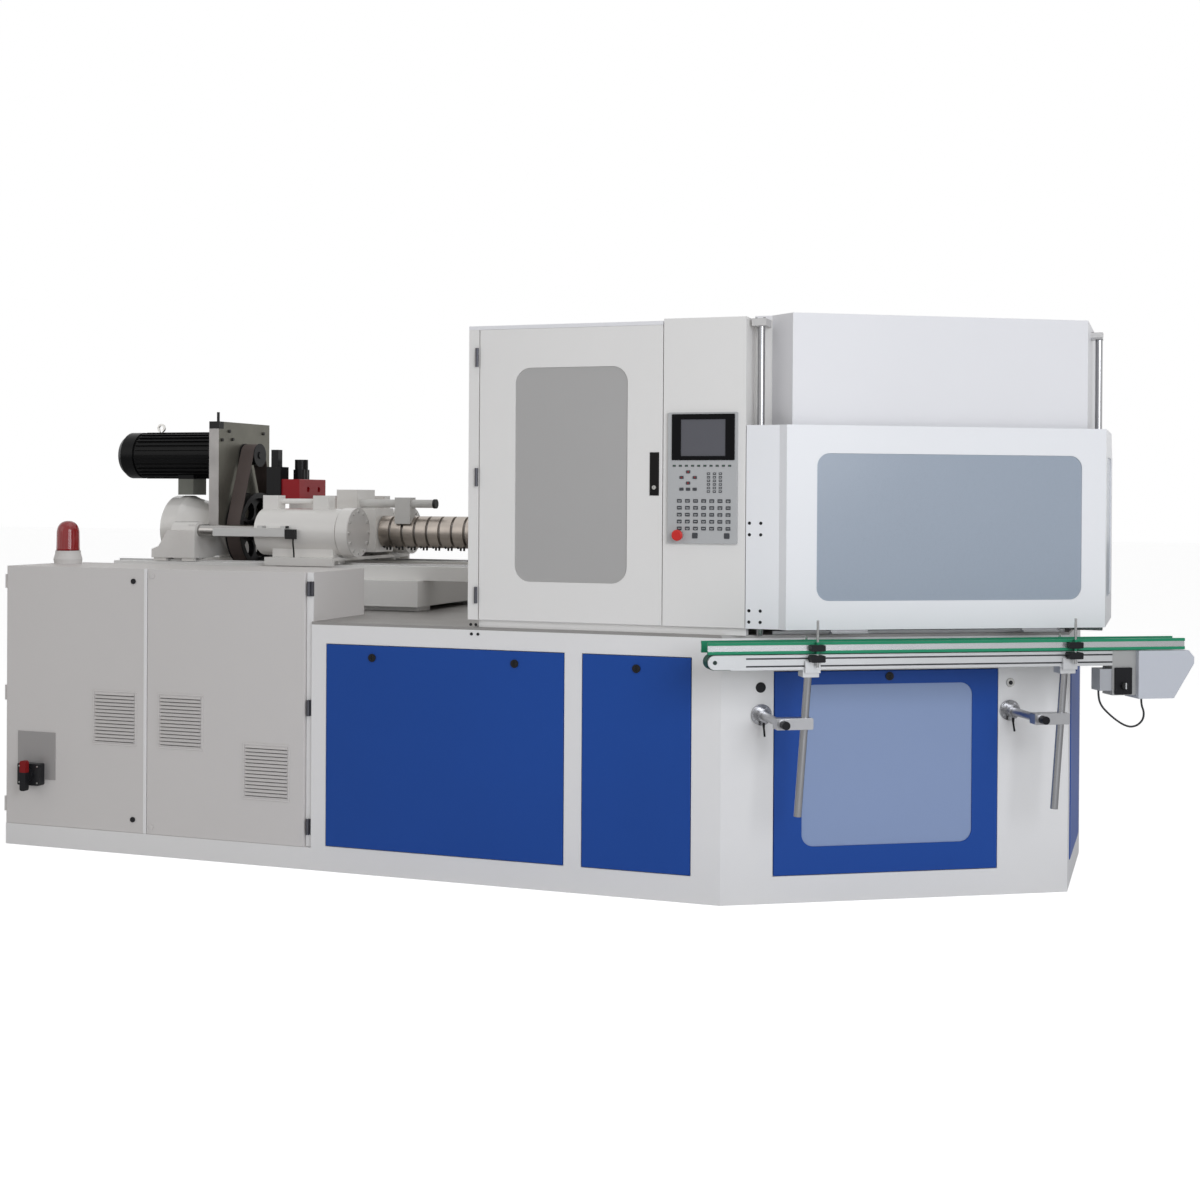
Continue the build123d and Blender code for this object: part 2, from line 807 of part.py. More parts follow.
# Control panel: flat housing with a bezel, a recessed screen and raised key fields
panel_left = -407.0
panel_right = -125.0
panel_low = 1421.0
panel_high = 1936.0
panel_depth = 14.0
panel_face = enclosure_face.offset(panel_depth)
stop_x = -360.0
stop_z = 1453.0
stop_stem = 12.0
stop_collar = 6.0
with BuildPart() as control_panel:
    with BuildSketch(enclosure_face):
        with Locations(((panel_left + panel_right) / 2, (panel_low + panel_high) / 2)):
            RectangleRounded(panel_right - panel_left, panel_high - panel_low, 4)
    extrude(amount=panel_depth)
    add(slab(panel_face, -390, -135, 1748, 1929, 0, 4, 3))
    add(slab(panel_face, -353, -172, 1764, 1908, 1, 5), mode=Mode.SUBTRACT)
    # Main keys
    keys = [(-358 + column * 33, 1480 + row * 27) for column in range(7) for row in range(5)]
    with BuildSketch(panel_face):
        with Locations(*keys):
            RectangleRounded(19, 14, 2)
    extrude(amount=2)
    # Slim key columns, arrow cluster and the row under the screen
    slim = [(-240 + column * 24, 1625 + row * 14) for column in range(3) for row in range(6)]
    arrows = [(-350, 1680), (-296, 1680), (-323, 1702), (-323, 1658), (-350, 1634),
              (-323, 1634), (-296, 1634)]
    lamps = [(-380 + column * 25, 1726) for column in range(10)]
    with BuildSketch(panel_face):
        with Locations(*slim):
            Rectangle(12, 9)
        with Locations(*arrows):
            RectangleRounded(17, 12, 2)
        with Locations(*lamps):
            Rectangle(12, 7)
        with Locations((-294, 1452), (-165, 1452)):
            RectangleRounded(22, 22, 3)
    extrude(amount=2)
    # Collar and bore of the emergency stop
    with BuildSketch(panel_face):
        with Locations((stop_x, stop_z)):
            Circle(stop_stem + 7)
    extrude(amount=stop_collar)
    with BuildSketch(panel_face.offset(stop_collar)):
        with Locations((stop_x, stop_z)):
            Circle(stop_stem + close_gap)
    extrude(amount=-stop_collar - 10, mode=Mode.SUBTRACT)
save(control_panel.part, "control_panel")

# Emergency stop: mushroom button whose stem runs in the collar
with BuildPart() as emergency_stop:
    with BuildSketch(panel_face.offset(-3)):
        with Locations((stop_x, stop_z)):
            Circle(stop_stem)
    extrude(amount=21)
    with BuildSketch(panel_face.offset(18)):
        with Locations((stop_x, stop_z)):
            Circle(22)
    extrude(amount=14)
    fillet(emergency_stop.edges().filter_by(GeomType.CIRCLE).sort_by(Axis.Y)[0], 5)
save(emergency_stop.part, "emergency_stop")

# Rail beams: two box beams on stands, each with a ground rail on top
beam_y = 300.0
beam_width = 120.0
beam_height = 65.0
beam_left = -3540.0
beam_right = -1290.0
rail_width = 24.0
stand_spots = ((-3330.0, 200.0), (-2015.0, 350.0), (-1390.0, 160.0))
with BuildPart() as rail_beams:
    for side in (-1, 1):
        add(
            block(
                beam_left, beam_right, side * beam_y - beam_width / 2,
                side * beam_y + beam_width / 2, beam_top - beam_height, beam_top,
            )
        )
        add(
            block(
                beam_left, beam_right, side * beam_y - rail_width / 2,
                side * beam_y + rail_width / 2, beam_top, rail_top,
            )
        )
    for middle, length in stand_spots:
        add(
            block(
                middle - length / 2, middle + length / 2, -beam_y - beam_width,
                beam_y + beam_width, deck_top + 22, beam_top - beam_height,
            )
        )
        for side in (-1, 1):
            add(
                block(
                    middle - length / 2 + 20, middle + length / 2 - 20,
                    side * beam_y - 60, side * beam_y + 60, deck_top, deck_top + 22,
                )
            )
save(rail_beams.part, "rail_beams")

# Carriage: saddle plate on four runner blocks, with a front lip
saddle_left = -2650.0
saddle_right = -2283.0
saddle_thickness = 16.0
with BuildPart() as carriage:
    add(
        block(
            saddle_left, saddle_right, -beam_y - 120, beam_y + 120,
            saddle_top - saddle_thickness, saddle_top,
        )
    )
    for side in (-1, 1):
        for middle in (saddle_left + 60, saddle_right - 60):
            with BuildSketch(Plane.XY.offset(beam_top + 2)):
                with Locations((middle, side * beam_y)):
                    Rectangle(90, 70)
                    Rectangle(91, rail_width + 2 * close_gap, mode=Mode.SUBTRACT)
            extrude(amount=saddle_top - saddle_thickness - beam_top - 2)
            add(
                block(
                    middle - 45, middle + 45, side * beam_y - 20, side * beam_y + 20,
                    rail_top + close_gap, saddle_top - saddle_thickness,
                )
            )
        add(
            block(
                saddle_left, saddle_right, side * (beam_y + 110) - 10,
                side * (beam_y + 110) + 10, saddle_top - 40, saddle_top,
            )
        )
save(carriage.part, "carriage")

# Injection cylinders: twin castings joined by a bridge, with bolted end covers,
# port blocks and the pipe between them
cover_bolts = 12
bridge_half = 60.0
feed_left = -2435.0
feed_right = -2322.0
feed_middle = (feed_left + feed_right) / 2
feed_radius = 35.0
with BuildPart() as injection_cylinders:
    for side in (-1, 1):
        y = side * cylinder_spread
        add(bar((cylinder_left, y, axis_height), (cylinder_right, y, axis_height), cylinder_radius))
        add(
            bar(
                (cylinder_right, y, axis_height), (cylinder_right + 5, y, axis_height),
                cylinder_radius - 4,
            )
        )
        add(
            bar(
                (cylinder_right + 5, y, axis_height), (cylinder_right + 70, y, axis_height),
                flange_radius,
            )
        )
        # Cradle that stands on the saddle
        add(
            block(
                saddle_left + 20, saddle_right - 20, y - 80, y + 80,
                saddle_top, axis_height - 60,
            )
        )
        for start in (-2710.0, -2437.0):
            add(block(start, start + 84, y - 34, y + 34, axis_height + 90, axis_height + 176))
        add(
            bar(
                (-2700, y, axis_height + 148), (-2400, y, axis_height + 148), 13,
            )
        )
        with BuildSketch(Plane.YZ.offset(cylinder_right + 70)):
            with Locations((y, axis_height)):
                with PolarLocations(flange_radius - 17, cover_bolts):
                    RegularPolygon(8, 6)
        extrude(amount=6)
        # Bore for the piston rod
        with BuildSketch(Plane.YZ.offset(cylinder_left - 1)):
            with Locations((y, axis_height)):
                Circle(piston_rod_radius + close_gap)
        extrude(amount=361, mode=Mode.SUBTRACT)
    # Bridge between the cylinders, bored for the screw and the barrel's tail
    add(
        block(
            -2640, cylinder_right, -cylinder_spread, cylinder_spread,
            axis_height - bridge_half - 30, axis_height + bridge_half + 30,
        )
    )
    for side in (-1, 1):
        with BuildSketch(Plane.YZ.offset(cylinder_left - 1)):
            with Locations((side * cylinder_spread, axis_height)):
                Circle(piston_rod_radius + close_gap)
        extrude(amount=361, mode=Mode.SUBTRACT)
    with BuildSketch(Plane.YZ.offset(-2641)):
        with Locations((0, axis_height)):
            Circle(barrel_radius + close_gap)
    extrude(amount=400, mode=Mode.SUBTRACT)
    with BuildSketch(Plane.XY.offset(axis_height)):
        with Locations((feed_middle, 0)):
            Circle(feed_radius - 2)
    extrude(amount=bridge_half + 31, mode=Mode.SUBTRACT)
save(injection_cylinders.part, "injection_cylinders")

# Barrel: thick tube with a nozzle at its tip, flanged against the bridge
barrel_start = -2560.0
barrel_end = -520.0
nozzle_end = -mould_outer - 4.0
with BuildPart() as barrel:
    with BuildSketch(Plane.XZ):
        with BuildLine():
            Polyline(
                (barrel_start, axis_height), (barrel_start, axis_height + barrel_radius),
                (barrel_end, axis_height + barrel_radius),
                (barrel_end + 20, axis_height + 38), (nozzle_end - 20, axis_height + 34),
                (nozzle_end, axis_height + 14), (nozzle_end, axis_height),
                close=True,
            )
        make_face()
    revolve(axis=Axis((0, 0, axis_height), (1, 0, 0)))
    with BuildSketch(Plane.YZ.offset(barrel_start - 1)):
        with Locations((0, axis_height)):
            Circle(screw_radius + close_gap)
    extrude(amount=barrel_end - barrel_start + 1, mode=Mode.SUBTRACT)
    with BuildSketch(Plane.YZ.offset(barrel_end - 2)):
        with Locations((0, axis_height)):
            Circle(5)
    extrude(amount=nozzle_end - barrel_end + 3, mode=Mode.SUBTRACT)
    with BuildSketch(Plane.XY.offset(axis_height)):
        with Locations((feed_middle, 0)):
            Circle(feed_radius - 5)
    extrude(amount=barrel_radius + 1, mode=Mode.SUBTRACT)
save(barrel.part, "barrel")

# Feed throat: block round the barrel with a tapped flange face for the hopper
feed_top = 1630.0
feed_half = 95.0
hopper_bolt_x = 80.0
hopper_bolt_y = 150.0
hopper_bolt_radius = 5.0
with BuildPart() as feed_throat:
    add(
        block(
            cylinder_right + close_gap, cylinder_right + 60, -feed_half, feed_half,
            axis_height - 100, axis_height + 100,
        )
    )
    add(
        block(
            feed_left, cylinder_right + 60, -feed_half, feed_half,
            axis_height + bridge_half + 30, axis_height + bridge_half + 55,
        )
    )
    add(
        block(
            feed_left, feed_right, -feed_half, feed_half,
            axis_height + bridge_half + 55, feed_top,
        )
    )
    with BuildSketch(Plane.YZ.offset(cylinder_right - 1)):
        with Locations((0, axis_height)):
            Circle(barrel_radius + close_gap)
    extrude(amount=70, mode=Mode.SUBTRACT)
    with BuildSketch(Plane.XY.offset(feed_top)):
        with Locations((feed_middle, 0)):
            Circle(feed_radius)
    extrude(amount=-(feed_top - axis_height), mode=Mode.SUBTRACT)
    with BuildSketch(Plane.XY.offset(feed_top)):
        with Locations((feed_middle, 0)):
            with GridLocations(hopper_bolt_x, hopper_bolt_y, 2, 2):
                Circle(hopper_bolt_radius)
    extrude(amount=-25, mode=Mode.SUBTRACT)
save(feed_throat.part, "feed_throat")

# Heater bands: split steel bands clamped round the barrel
band_width = 53.0
band_pitch = 66.0
band_first = -2216.0
band_count = 13
with BuildPart() as heater_bands:
    for band in range(band_count):
        with BuildSketch(Plane.YZ.offset(band_first + band * band_pitch)):
            with Locations((0, axis_height)):
                Circle(band_radius)
                Circle(barrel_radius + close_gap, mode=Mode.SUBTRACT)
            with Locations((0, axis_height - band_radius)):
                Rectangle(8, 60, mode=Mode.SUBTRACT)
        extrude(amount=band_width)
save(heater_bands.part, "heater_bands")

# Screw: shank with a helical flight shown as rings, driven by the big pulley
screw_start = plate_left - 223.0
injection_stroke = 100.0
screw_end = barrel_end - injection_stroke - 60
with BuildPart() as screw:
    add(bar((screw_start, 0, axis_height), (screw_end, 0, axis_height), screw_radius - 6))
    flights = int((screw_end - 20 - (feed_left - 60)) / (2 * screw_radius))
    for turn_number in range(flights):
        start = feed_left - 60 + turn_number * 2 * screw_radius
        add(bar((start, 0, axis_height), (start + 7, 0, axis_height), screw_radius))
    add(bar((screw_end, 0, axis_height), (screw_end + 50, 0, axis_height), screw_radius - 10))
save(screw.part, "screw")

# Thrust housing: bell-shaped bearing housing on a pedestal, with an ear for each rod
bell_left = -3404.0
bell_rim = 91.0
bell_radius = 172.0
bell_end = plate_left - close_gap
ear_left = -3221.0
ear_right = -3083.0
rod_reach = 240.0
with BuildPart() as thrust_housing:
    with BuildSketch(Plane.XZ):
        with BuildLine():
            Polyline(
                (bell_left, axis_height), (bell_left, axis_height + bell_radius - 8),
                (bell_left + 8, axis_height + bell_radius),
                (bell_left + bell_rim, axis_height + bell_radius),
                (bell_left + bell_rim + 30, axis_height + bell_radius - 12),
                (bell_end, axis_height + 105), (bell_end, axis_height), close=True,
            )
        make_face()
    revolve(axis=Axis((0, 0, axis_height), (1, 0, 0)))
    for side in (-1, 1):
        add(
            bar(
                (ear_left, side * cylinder_spread, axis_height),
                (ear_right, side * cylinder_spread, axis_height), 45,
            )
        )
    # Cross plate that carries the ears, above the pedestal
    add(
        block(
            ear_right - 40, ear_right, -cylinder_spread - 40, cylinder_spread + 40,
            beam_top + 25, axis_height + 30,
        )
    )
    with BuildSketch(Plane.XZ.offset(cylinder_spread - 130)):
        with BuildLine():
            Polyline(
                (-3330, saddle_top - 16), (ear_right, saddle_top - 16),
                (ear_right, axis_height), (-3240, axis_height), (-3290, 1345),
                (-3330, 1330), close=True,
            )
        make_face()
    extrude(amount=180)
    with BuildSketch(Plane.XZ.offset(-cylinder_spread - 50)):
        with BuildLine():
            Polyline(
                (-3330, saddle_top - 16), (ear_right, saddle_top - 16),
                (ear_right, axis_height), (-3240, axis_height), (-3290, 1345),
                (-3330, 1330), close=True,
            )
        make_face()
    extrude(amount=180)
    for side in (-1, 1):
        for middle in (-3290.0, -3130.0):
            with BuildSketch(Plane.XY.offset(beam_top + 2)):
                with Locations((middle, side * beam_y)):
                    Rectangle(70, 70)
                    Rectangle(71, rail_width + 2 * close_gap, mode=Mode.SUBTRACT)
            extrude(amount=saddle_top - 16 - beam_top - 2)
    # Bore for the screw's drive end
    with BuildSketch(Plane.YZ.offset(screw_start - 2)):
        with Locations((0, axis_height)):
            Circle(screw_radius - 6 + close_gap)
    extrude(amount=400, mode=Mode.SUBTRACT)
    # Piston rods screwed into the ears
    for side in (-1, 1):
        start = (ear_right - 10, side * cylinder_spread, axis_height)
        end = (cylinder_left + rod_reach, side * cylinder_spread, axis_height)
        add(bar(start, end, piston_rod_radius))
save(thrust_housing.part, "thrust_housing")

# Motor plate: thick ground plate on the housing's face, with its tension bolt
plate_half = 245.0
plate_low = 1560.0
plate_high = 1966.0
tension_bolt_top = 2012.0
tension_bolt_radius = 7.0
with BuildPart() as motor_plate:
    with BuildSketch(Plane.YZ.offset(plate_left)):
        with BuildLine():
            Polyline(
                (-plate_half, plate_high), (plate_half, plate_high),
                (plate_half, plate_low), (150, plate_low - 130),
                (150, axis_height - 20), (-150, axis_height - 20),
                (-plate_half, plate_low - 113), close=True,
            )
        make_face()
        with Locations((0, motor_axis_height)):
            Circle(46, mode=Mode.SUBTRACT)
        with Locations((0, axis_height)):
            Circle(40, mode=Mode.SUBTRACT)
    extrude(amount=plate_right - plate_left)
    with BuildSketch(Plane.YZ.offset(plate_right)):
        with Locations((-217, 1875), (180, 1920), (-150, 1920), (180, 1840), (-120, 1880)):
            RegularPolygon(9, 6)
    extrude(amount=8)
    bolt = (plate_right - 12, -plate_half + 14)
    add(bar((*bolt, plate_high), (*bolt, tension_bolt_top), tension_bolt_radius))
save(motor_plate.part, "motor_plate")

# Drive motor: finned body, end flange, fan cover, lifting eye and terminal box
motor_left = -3714.0
fan_cover = 110.0
fin_count = 28
shaft_radius = 18.0
shaft_reach = 70.0
with BuildPart() as drive_motor:
    add(
        bar(
            (motor_left + fan_cover, 0, motor_axis_height),
            (plate_left - 30, 0, motor_axis_height), motor_radius - 10,
        )
    )
    with BuildSketch(Plane.YZ.offset(motor_left + fan_cover + 12)):
        with Locations((0, motor_axis_height)):
            with PolarLocations(motor_radius - 9, fin_count):
                Rectangle(16, 5)
    extrude(amount=plate_left - motor_left - fan_cover - 60)
    add(
        bar(
            (plate_left - 30, 0, motor_axis_height), (plate_left, 0, motor_axis_height),
            motor_radius,
        )
    )
    with BuildSketch(Plane.XZ):
        with BuildLine():
            Polyline(
                (motor_left, motor_axis_height), (motor_left, motor_axis_height + 70),
                (motor_left + 12, motor_axis_height + 98),
                (motor_left + 40, motor_axis_height + motor_radius - 2),
                (motor_left + fan_cover, motor_axis_height + motor_radius - 2),
                (motor_left + fan_cover, motor_axis_height), close=True,
            )
        make_face()
    revolve(axis=Axis((0, 0, motor_axis_height), (1, 0, 0)))
    add(bar((-3506, 0, motor_axis_height + 100), (-3506, 0, motor_axis_height + 128), 9))
    with BuildSketch(Plane.XZ.offset(-6)):
        with Locations((-3506, motor_axis_height + 142)):
            Circle(22)
            Circle(13, mode=Mode.SUBTRACT)
    extrude(amount=12)
    add(block(-3365, -3275, -60, 60, 1600, motor_axis_height - motor_radius + 20))
    # Bore for the shaft that carries the pulley
    with BuildSketch(Plane.YZ.offset(plate_left + 1)):
        with Locations((0, motor_axis_height)):
            Circle(shaft_radius + close_gap)
    extrude(amount=-shaft_reach, mode=Mode.SUBTRACT)
save(drive_motor.part, "drive_motor")

# Motor pulley with its shaft, and the big spoked pulley on the screw
pulley_right = pulley_left + pulley_width


def pulley(height, radius, hub_radius, bore_radius):
    """Flat pulley with flanges, facing along the machine."""
    with BuildPart() as piece:
        with BuildSketch(Plane.YZ.offset(pulley_left)):
            with Locations((0, height)):
                Circle(radius)
                Circle(bore_radius, mode=Mode.SUBTRACT)
        extrude(amount=pulley_width)
        for start in (pulley_left - 3, pulley_right):
            with BuildSketch(Plane.YZ.offset(start)):
                with Locations((0, height)):
                    Circle(radius + belt_thickness + 3)
                    Circle(bore_radius, mode=Mode.SUBTRACT)
            extrude(amount=3)
        if radius > 3 * hub_radius / 2:
            for start, depth in ((pulley_left - 3, 28), (pulley_right + 3, -28)):
                with BuildSketch(Plane.YZ.offset(start)):
                    with Locations((0, height)):
                        Circle(radius - 18)
                        Circle(hub_radius, mode=Mode.SUBTRACT)
                extrude(amount=depth, mode=Mode.SUBTRACT)
            with BuildSketch(Plane.YZ.offset(pulley_left)):
                with Locations((0, height)):
                    with PolarLocations((radius + hub_radius) / 2 - 8, 6):
                        Circle((radius - hub_radius) / 2 - 16)
            extrude(amount=pulley_width, mode=Mode.SUBTRACT)
    return piece.part


with BuildPart() as motor_pulley:
    add(pulley(motor_axis_height, small_pulley_radius, 40, shaft_radius - 1))
    start = (plate_left - shaft_reach + 5, 0, motor_axis_height)
    add(bar(start, (pulley_right + 8, 0, motor_axis_height), shaft_radius))
save(motor_pulley.part, "motor_pulley")
screw_pulley = pulley(axis_height, big_pulley_radius, 55, screw_radius - 6)
save(screw_pulley, "screw_pulley")

# Belt: one closed flat band round both pulleys
belt_left = pulley_left + (pulley_width - belt_width) / 2
pulley_distance = motor_axis_height - axis_height
belt_rise = (big_pulley_radius - small_pulley_radius) / pulley_distance
belt_run = (1 - belt_rise**2) ** 0.5
with BuildPart() as drive_belt:
    with BuildSketch(Plane.YZ.offset(belt_left)):
        for grow, how in ((close_gap + belt_thickness, Mode.ADD), (close_gap, Mode.SUBTRACT)):
            small = small_pulley_radius + grow
            big = big_pulley_radius + grow
            small_z = motor_axis_height + small * belt_rise
            big_z = axis_height + big * belt_rise
            with BuildLine():
                Line((-big * belt_run, big_z), (-small * belt_run, small_z))
                ThreePointArc(
                    (-small * belt_run, small_z), (0, motor_axis_height + small),
                    (small * belt_run, small_z),
                )
                Line((small * belt_run, small_z), (big * belt_run, big_z))
                ThreePointArc(
                    (big * belt_run, big_z), (0, axis_height - big), (-big * belt_run, big_z)
                )
            make_face(mode=how)
    extrude(amount=belt_width)
save(drive_belt.part, "drive_belt")

# Position transducer: flat profile on the front cylinder, with its rod end and lead
transducer_y = -cylinder_spread - cylinder_radius - 22
foot_low = 18.0
foot_end = -cylinder_spread - (cylinder_radius**2 - foot_low**2) ** 0.5 - close_gap
with BuildPart() as position_transducer:
    add(
        block(
            -2917, -2525, transducer_y - 18, transducer_y + 18,
            axis_height - 22, axis_height + 18,
        )
    )
    add(block(-2525, -2476, transducer_y - 14, transducer_y + 14, axis_height - 32, axis_height + 14))
    for middle in (-2663.0, -2538.0):
        add(
            block(
                middle - 14, middle + 14, transducer_y - 8, foot_end,
                axis_height + foot_low, axis_height + foot_low + 12,
            )
        )
save(position_transducer.part, "position_transducer")

# Lead of the transducer, down to the saddle's lip
lead_radius = 4.0
lead_x = -2488.0
lead_end_y = -beam_y - 112
lead_route = [
    (lead_x, transducer_y, axis_height - 32),
    (lead_x, transducer_y, axis_height - 60),
    (lead_x - 6, lead_end_y, axis_height - 92),
    (lead_x - 6, lead_end_y, saddle_top),
]


def cord(points, radius):
    """Round cord along straight runs joined by wide arcs."""
    vectors = [Vector(*point) for point in points]
    radii = []
    for before, here, after in zip(vectors, vectors[1:], vectors[2:]):
        turn = (here - before).get_angle(after - here)
        run = min((here - before).length, (after - here).length)
        radii.append(0.45 * run / tan(radians(turn / 2)))
    print("cord radii", [round(value, 1) for value in radii])
    with BuildPart() as piece:
        with BuildLine() as path:
            FilletPolyline(*points, radius=radii)
        first = path.wires()[0]
        with BuildSketch(Plane(origin=first @ 0, z_dir=first % 0)):
            Circle(radius)
        sweep(path=first)
    length = first.length
    share = piece.part.volume / (length * pi * radius * radius)
    print("cord length", round(length, 1), "volume share", round(share, 4))
    return piece.part


save(cord(lead_route, lead_radius), "transducer_cable")

# Hydraulic manifold over the bridge, and the black valves
with BuildPart() as hydraulic_manifold:
    add(block(-2735, -2635, -110, 160, 1581, 1681))
    add(block(-2720, -2500, -60, 60, axis_height + bridge_half + 30, 1581))
    with BuildSketch(Plane.YZ.offset(-2635)):
        with Locations((-20, 1630), (90, 1630)):
            Circle(14)
    extrude(amount=-12, mode=Mode.SUBTRACT)
    chamfer(hydraulic_manifold.edges().filter_by(Axis.Y).group_by(Axis.Z)[-1], 3)
save(hydraulic_manifold.part, "hydraulic_manifold")
with BuildPart() as hydraulic_valves:
    add(bar((-2685, 0, 1681), (-2685, 0, 1780), 33))
    add(block(-2715, -2655, -28, 28, 1681, 1730))
    add(block(-2815, -2735 - close_gap, -120, -40, 1598, 1742))
    add(block(-2800, -2760, -100, -60, 1742, 1828))
save(hydraulic_valves.part, "hydraulic_valves")

# Conduit for the heater leads above the barrel, with its bracket and end ring
conduit_y = -50.0
conduit_z = 1563.0
conduit_radius = 20.0
conduit_end = -1915.0
with BuildPart() as heater_conduit:
    start = (feed_right + close_gap, conduit_y, conduit_z)
    add(bar(start, (conduit_end, conduit_y, conduit_z), conduit_radius))
    add(bar((conduit_end - 14, conduit_y, conduit_z), (conduit_end, conduit_y, conduit_z), 23))
    with BuildSketch(Plane.YZ.offset(-2125)):
        with BuildLine():
            Polyline(
                (-82, axis_height + 40), (-82, conduit_z + 30), (-18, conduit_z + 30),
                (-18, axis_height + 60), close=True,
            )
        make_face()
        with Locations((0, axis_height)):
            Circle(band_radius + close_gap, mode=Mode.SUBTRACT)
    extrude(amount=82)
save(heater_conduit.part, "heater_conduit")

# Index table: lifting column, three-sided head and its core rods
head_inner = 230.0
head_low = axis_height + table_lift - 20
head_thickness = 40.0
core_reach = 380.0
with BuildPart() as table_column:
    add(bar((0, 0, deck_top + 15), (0, 0, head_low - close_gap), column_radius))
save(table_column.part, "table_column")
with BuildPart() as table_head:
    with BuildSketch(Plane.XY.offset(head_low)):
        RegularPolygon(2 * head_inner, 3)
        Circle(330, mode=Mode.INTERSECT)
    extrude(amount=head_thickness)
    with BuildSketch(Plane.XY.offset(head_low + head_thickness)):
        Circle(120)
    extrude(amount=46)
    fillet(table_head.edges().group_by(Axis.Z)[-1], 8)
save(table_head.part, "table_head")
core_z = axis_height + table_lift
with BuildPart() as core_rods:
    for station in (60, 180, 300):
        with BuildPart(mode=Mode.PRIVATE) as row:
            add(block(head_inner + close_gap, mould_inner - 8, -200, 200, core_z - 14, core_z + 14))
            for place in range(-2, 3):
                y = place * core_pitch
                add(bar((mould_inner - 8, y, core_z), (core_reach - core_radius, y, core_z), core_radius))
        add(row.part.rotate(Axis.Z, station))
save(core_rods.part, "core_rods")

# Presses: two C-frames with a lower mould, and the comb stand of the take-off station
press_bed_top = 1300.0
column_inner = 480.0
column_outer = 560.0
crown_low = 2000.0
crown_thickness = 80.0
ram_radius = 40.0
cavity_radius = core_radius + 3


def press_frame():
    """Open press frame at +X: bed, lower mould, rear columns, crown and ram cylinder."""
    with BuildPart() as piece:
        add(block(240, column_outer, -260, 260, deck_top, press_bed_top))
        with BuildSketch(Plane.XY.offset(press_bed_top)):
            with Locations(((mould_inner + mould_outer) / 2, 0)):
                Rectangle(mould_outer - mould_inner, 2 * mould_half)
        extrude(amount=axis_height - press_bed_top)
        for place in range(-2, 3):
            y = place * core_pitch
            add(
                bar((mould_inner - 1, y, axis_height), (core_reach + 8, y, axis_height), cavity_radius),
                mode=Mode.SUBTRACT,
            )
        for side in (-1, 1):
            add(
                block(
                    column_inner, column_outer, side * 260 - 40, side * 260 + 40,
                    press_bed_top - 60, crown_low,
                )
            )
        add(block(240, column_outer, -300, 300, crown_low, crown_low + crown_thickness))
        middle = (mould_inner + mould_outer) / 2
        add(bar((middle, 0, crown_low + crown_thickness), (middle, 0, 2250), 90))
        add(
            bar((middle, 0, crown_low - 1), (middle, 0, 2200), ram_radius + close_gap),
            mode=Mode.SUBTRACT,
        )
    return piece.part


def press_platen():
    """Upper mould, platen and ram at +X, in the open position."""
    with BuildPart() as piece:
        mould_low = axis_height + press_open
        with BuildSketch(Plane.XY.offset(mould_low)):
            with Locations(((mould_inner + mould_outer) / 2, 0)):
                Rectangle(mould_outer - mould_inner, 2 * mould_half)
        extrude(amount=120)
        for place in range(-2, 3):
            y = place * core_pitch
            add(
                bar((mould_inner - 1, y, mould_low), (core_reach + 8, y, mould_low), cavity_radius),
                mode=Mode.SUBTRACT,
            )
        add(block(240, column_inner - 10, -255, 255, mould_low + 120, mould_low + 180))
        middle = (mould_inner + mould_outer) / 2
        add(bar((middle, 0, mould_low + 180), (middle, 0, 2150), ram_radius))
    return piece.part


one_frame = press_frame()
with BuildPart() as press_frames:
    add(one_frame.rotate(Axis.Z, 180))
    add(one_frame.rotate(Axis.Z, 60))
    with BuildPart(mode=Mode.PRIVATE) as stand:
        add(block(395, 470, -220, 220, deck_top, core_z - core_radius - 25))
        add(block(395, 400, -220, 220, core_z - core_radius - 25, core_z - core_radius - 5))
    add(stand.part.rotate(Axis.Z, -60))
    # Sleeve of the lifting column
    with BuildSketch(Plane.XY.offset(deck_top)):
        Circle(150)
        Circle(column_radius + close_gap, mode=Mode.SUBTRACT)
    extrude(amount=300)
save(press_frames.part, "press_frames")
one_platen = press_platen()
save(one_platen.rotate(Axis.Z, 180), "injection_platen")
save(one_platen.rotate(Axis.Z, 60), "blow_platen")

# Conveyor arms: wall flanges with sockets, arms with cross clamps, leaning posts
arm_reach = 335.0
arm_tail = 10.0
lean_x = sin(radians(post_lean))
lean_z = cos(radians(post_lean))
flange_radius_wall = 42.0
slant_dir = Vector(slant_x, slant_y, 0)
post_direction = slant_dir * lean_x + Vector(0, 0, lean_z)
post_up = 200.0
post_down = 355.0
post_offset_gap = 268.0


def post_centre(arm_run):
    """Point on a post's axis at the height of its arm."""
    return Vector(*on_slant(arm_run + post_shift, post_offset_gap, arm_height))


with BuildPart() as wall_flanges:
    for run in arm_runs:
        with BuildSketch(slant_face):
            with Locations((run, arm_height)):
                Circle(flange_radius_wall)
                Circle(arm_radius + close_gap, mode=Mode.SUBTRACT)
        extrude(amount=10)
        with BuildSketch(slant_face.offset(10)):
            with Locations((run, arm_height)):
                Circle(25)
                Circle(arm_radius + close_gap, mode=Mode.SUBTRACT)
        extrude(amount=45)
        with BuildSketch(slant_face.offset(10)):
            with Locations((run, arm_height)):
                with PolarLocations(33, 4, start_angle=45):
                    RegularPolygon(6, 6)
        extrude(amount=4)
        start = on_slant(run, 38, arm_height - 24)
        add(bar(start, on_slant(run, 38, arm_height - 44), 5))
        add(bar(on_slant(run, 38, arm_height - 44), on_slant(run, 52, arm_height - 80), 4))
save(wall_flanges.part, "wall_flanges")

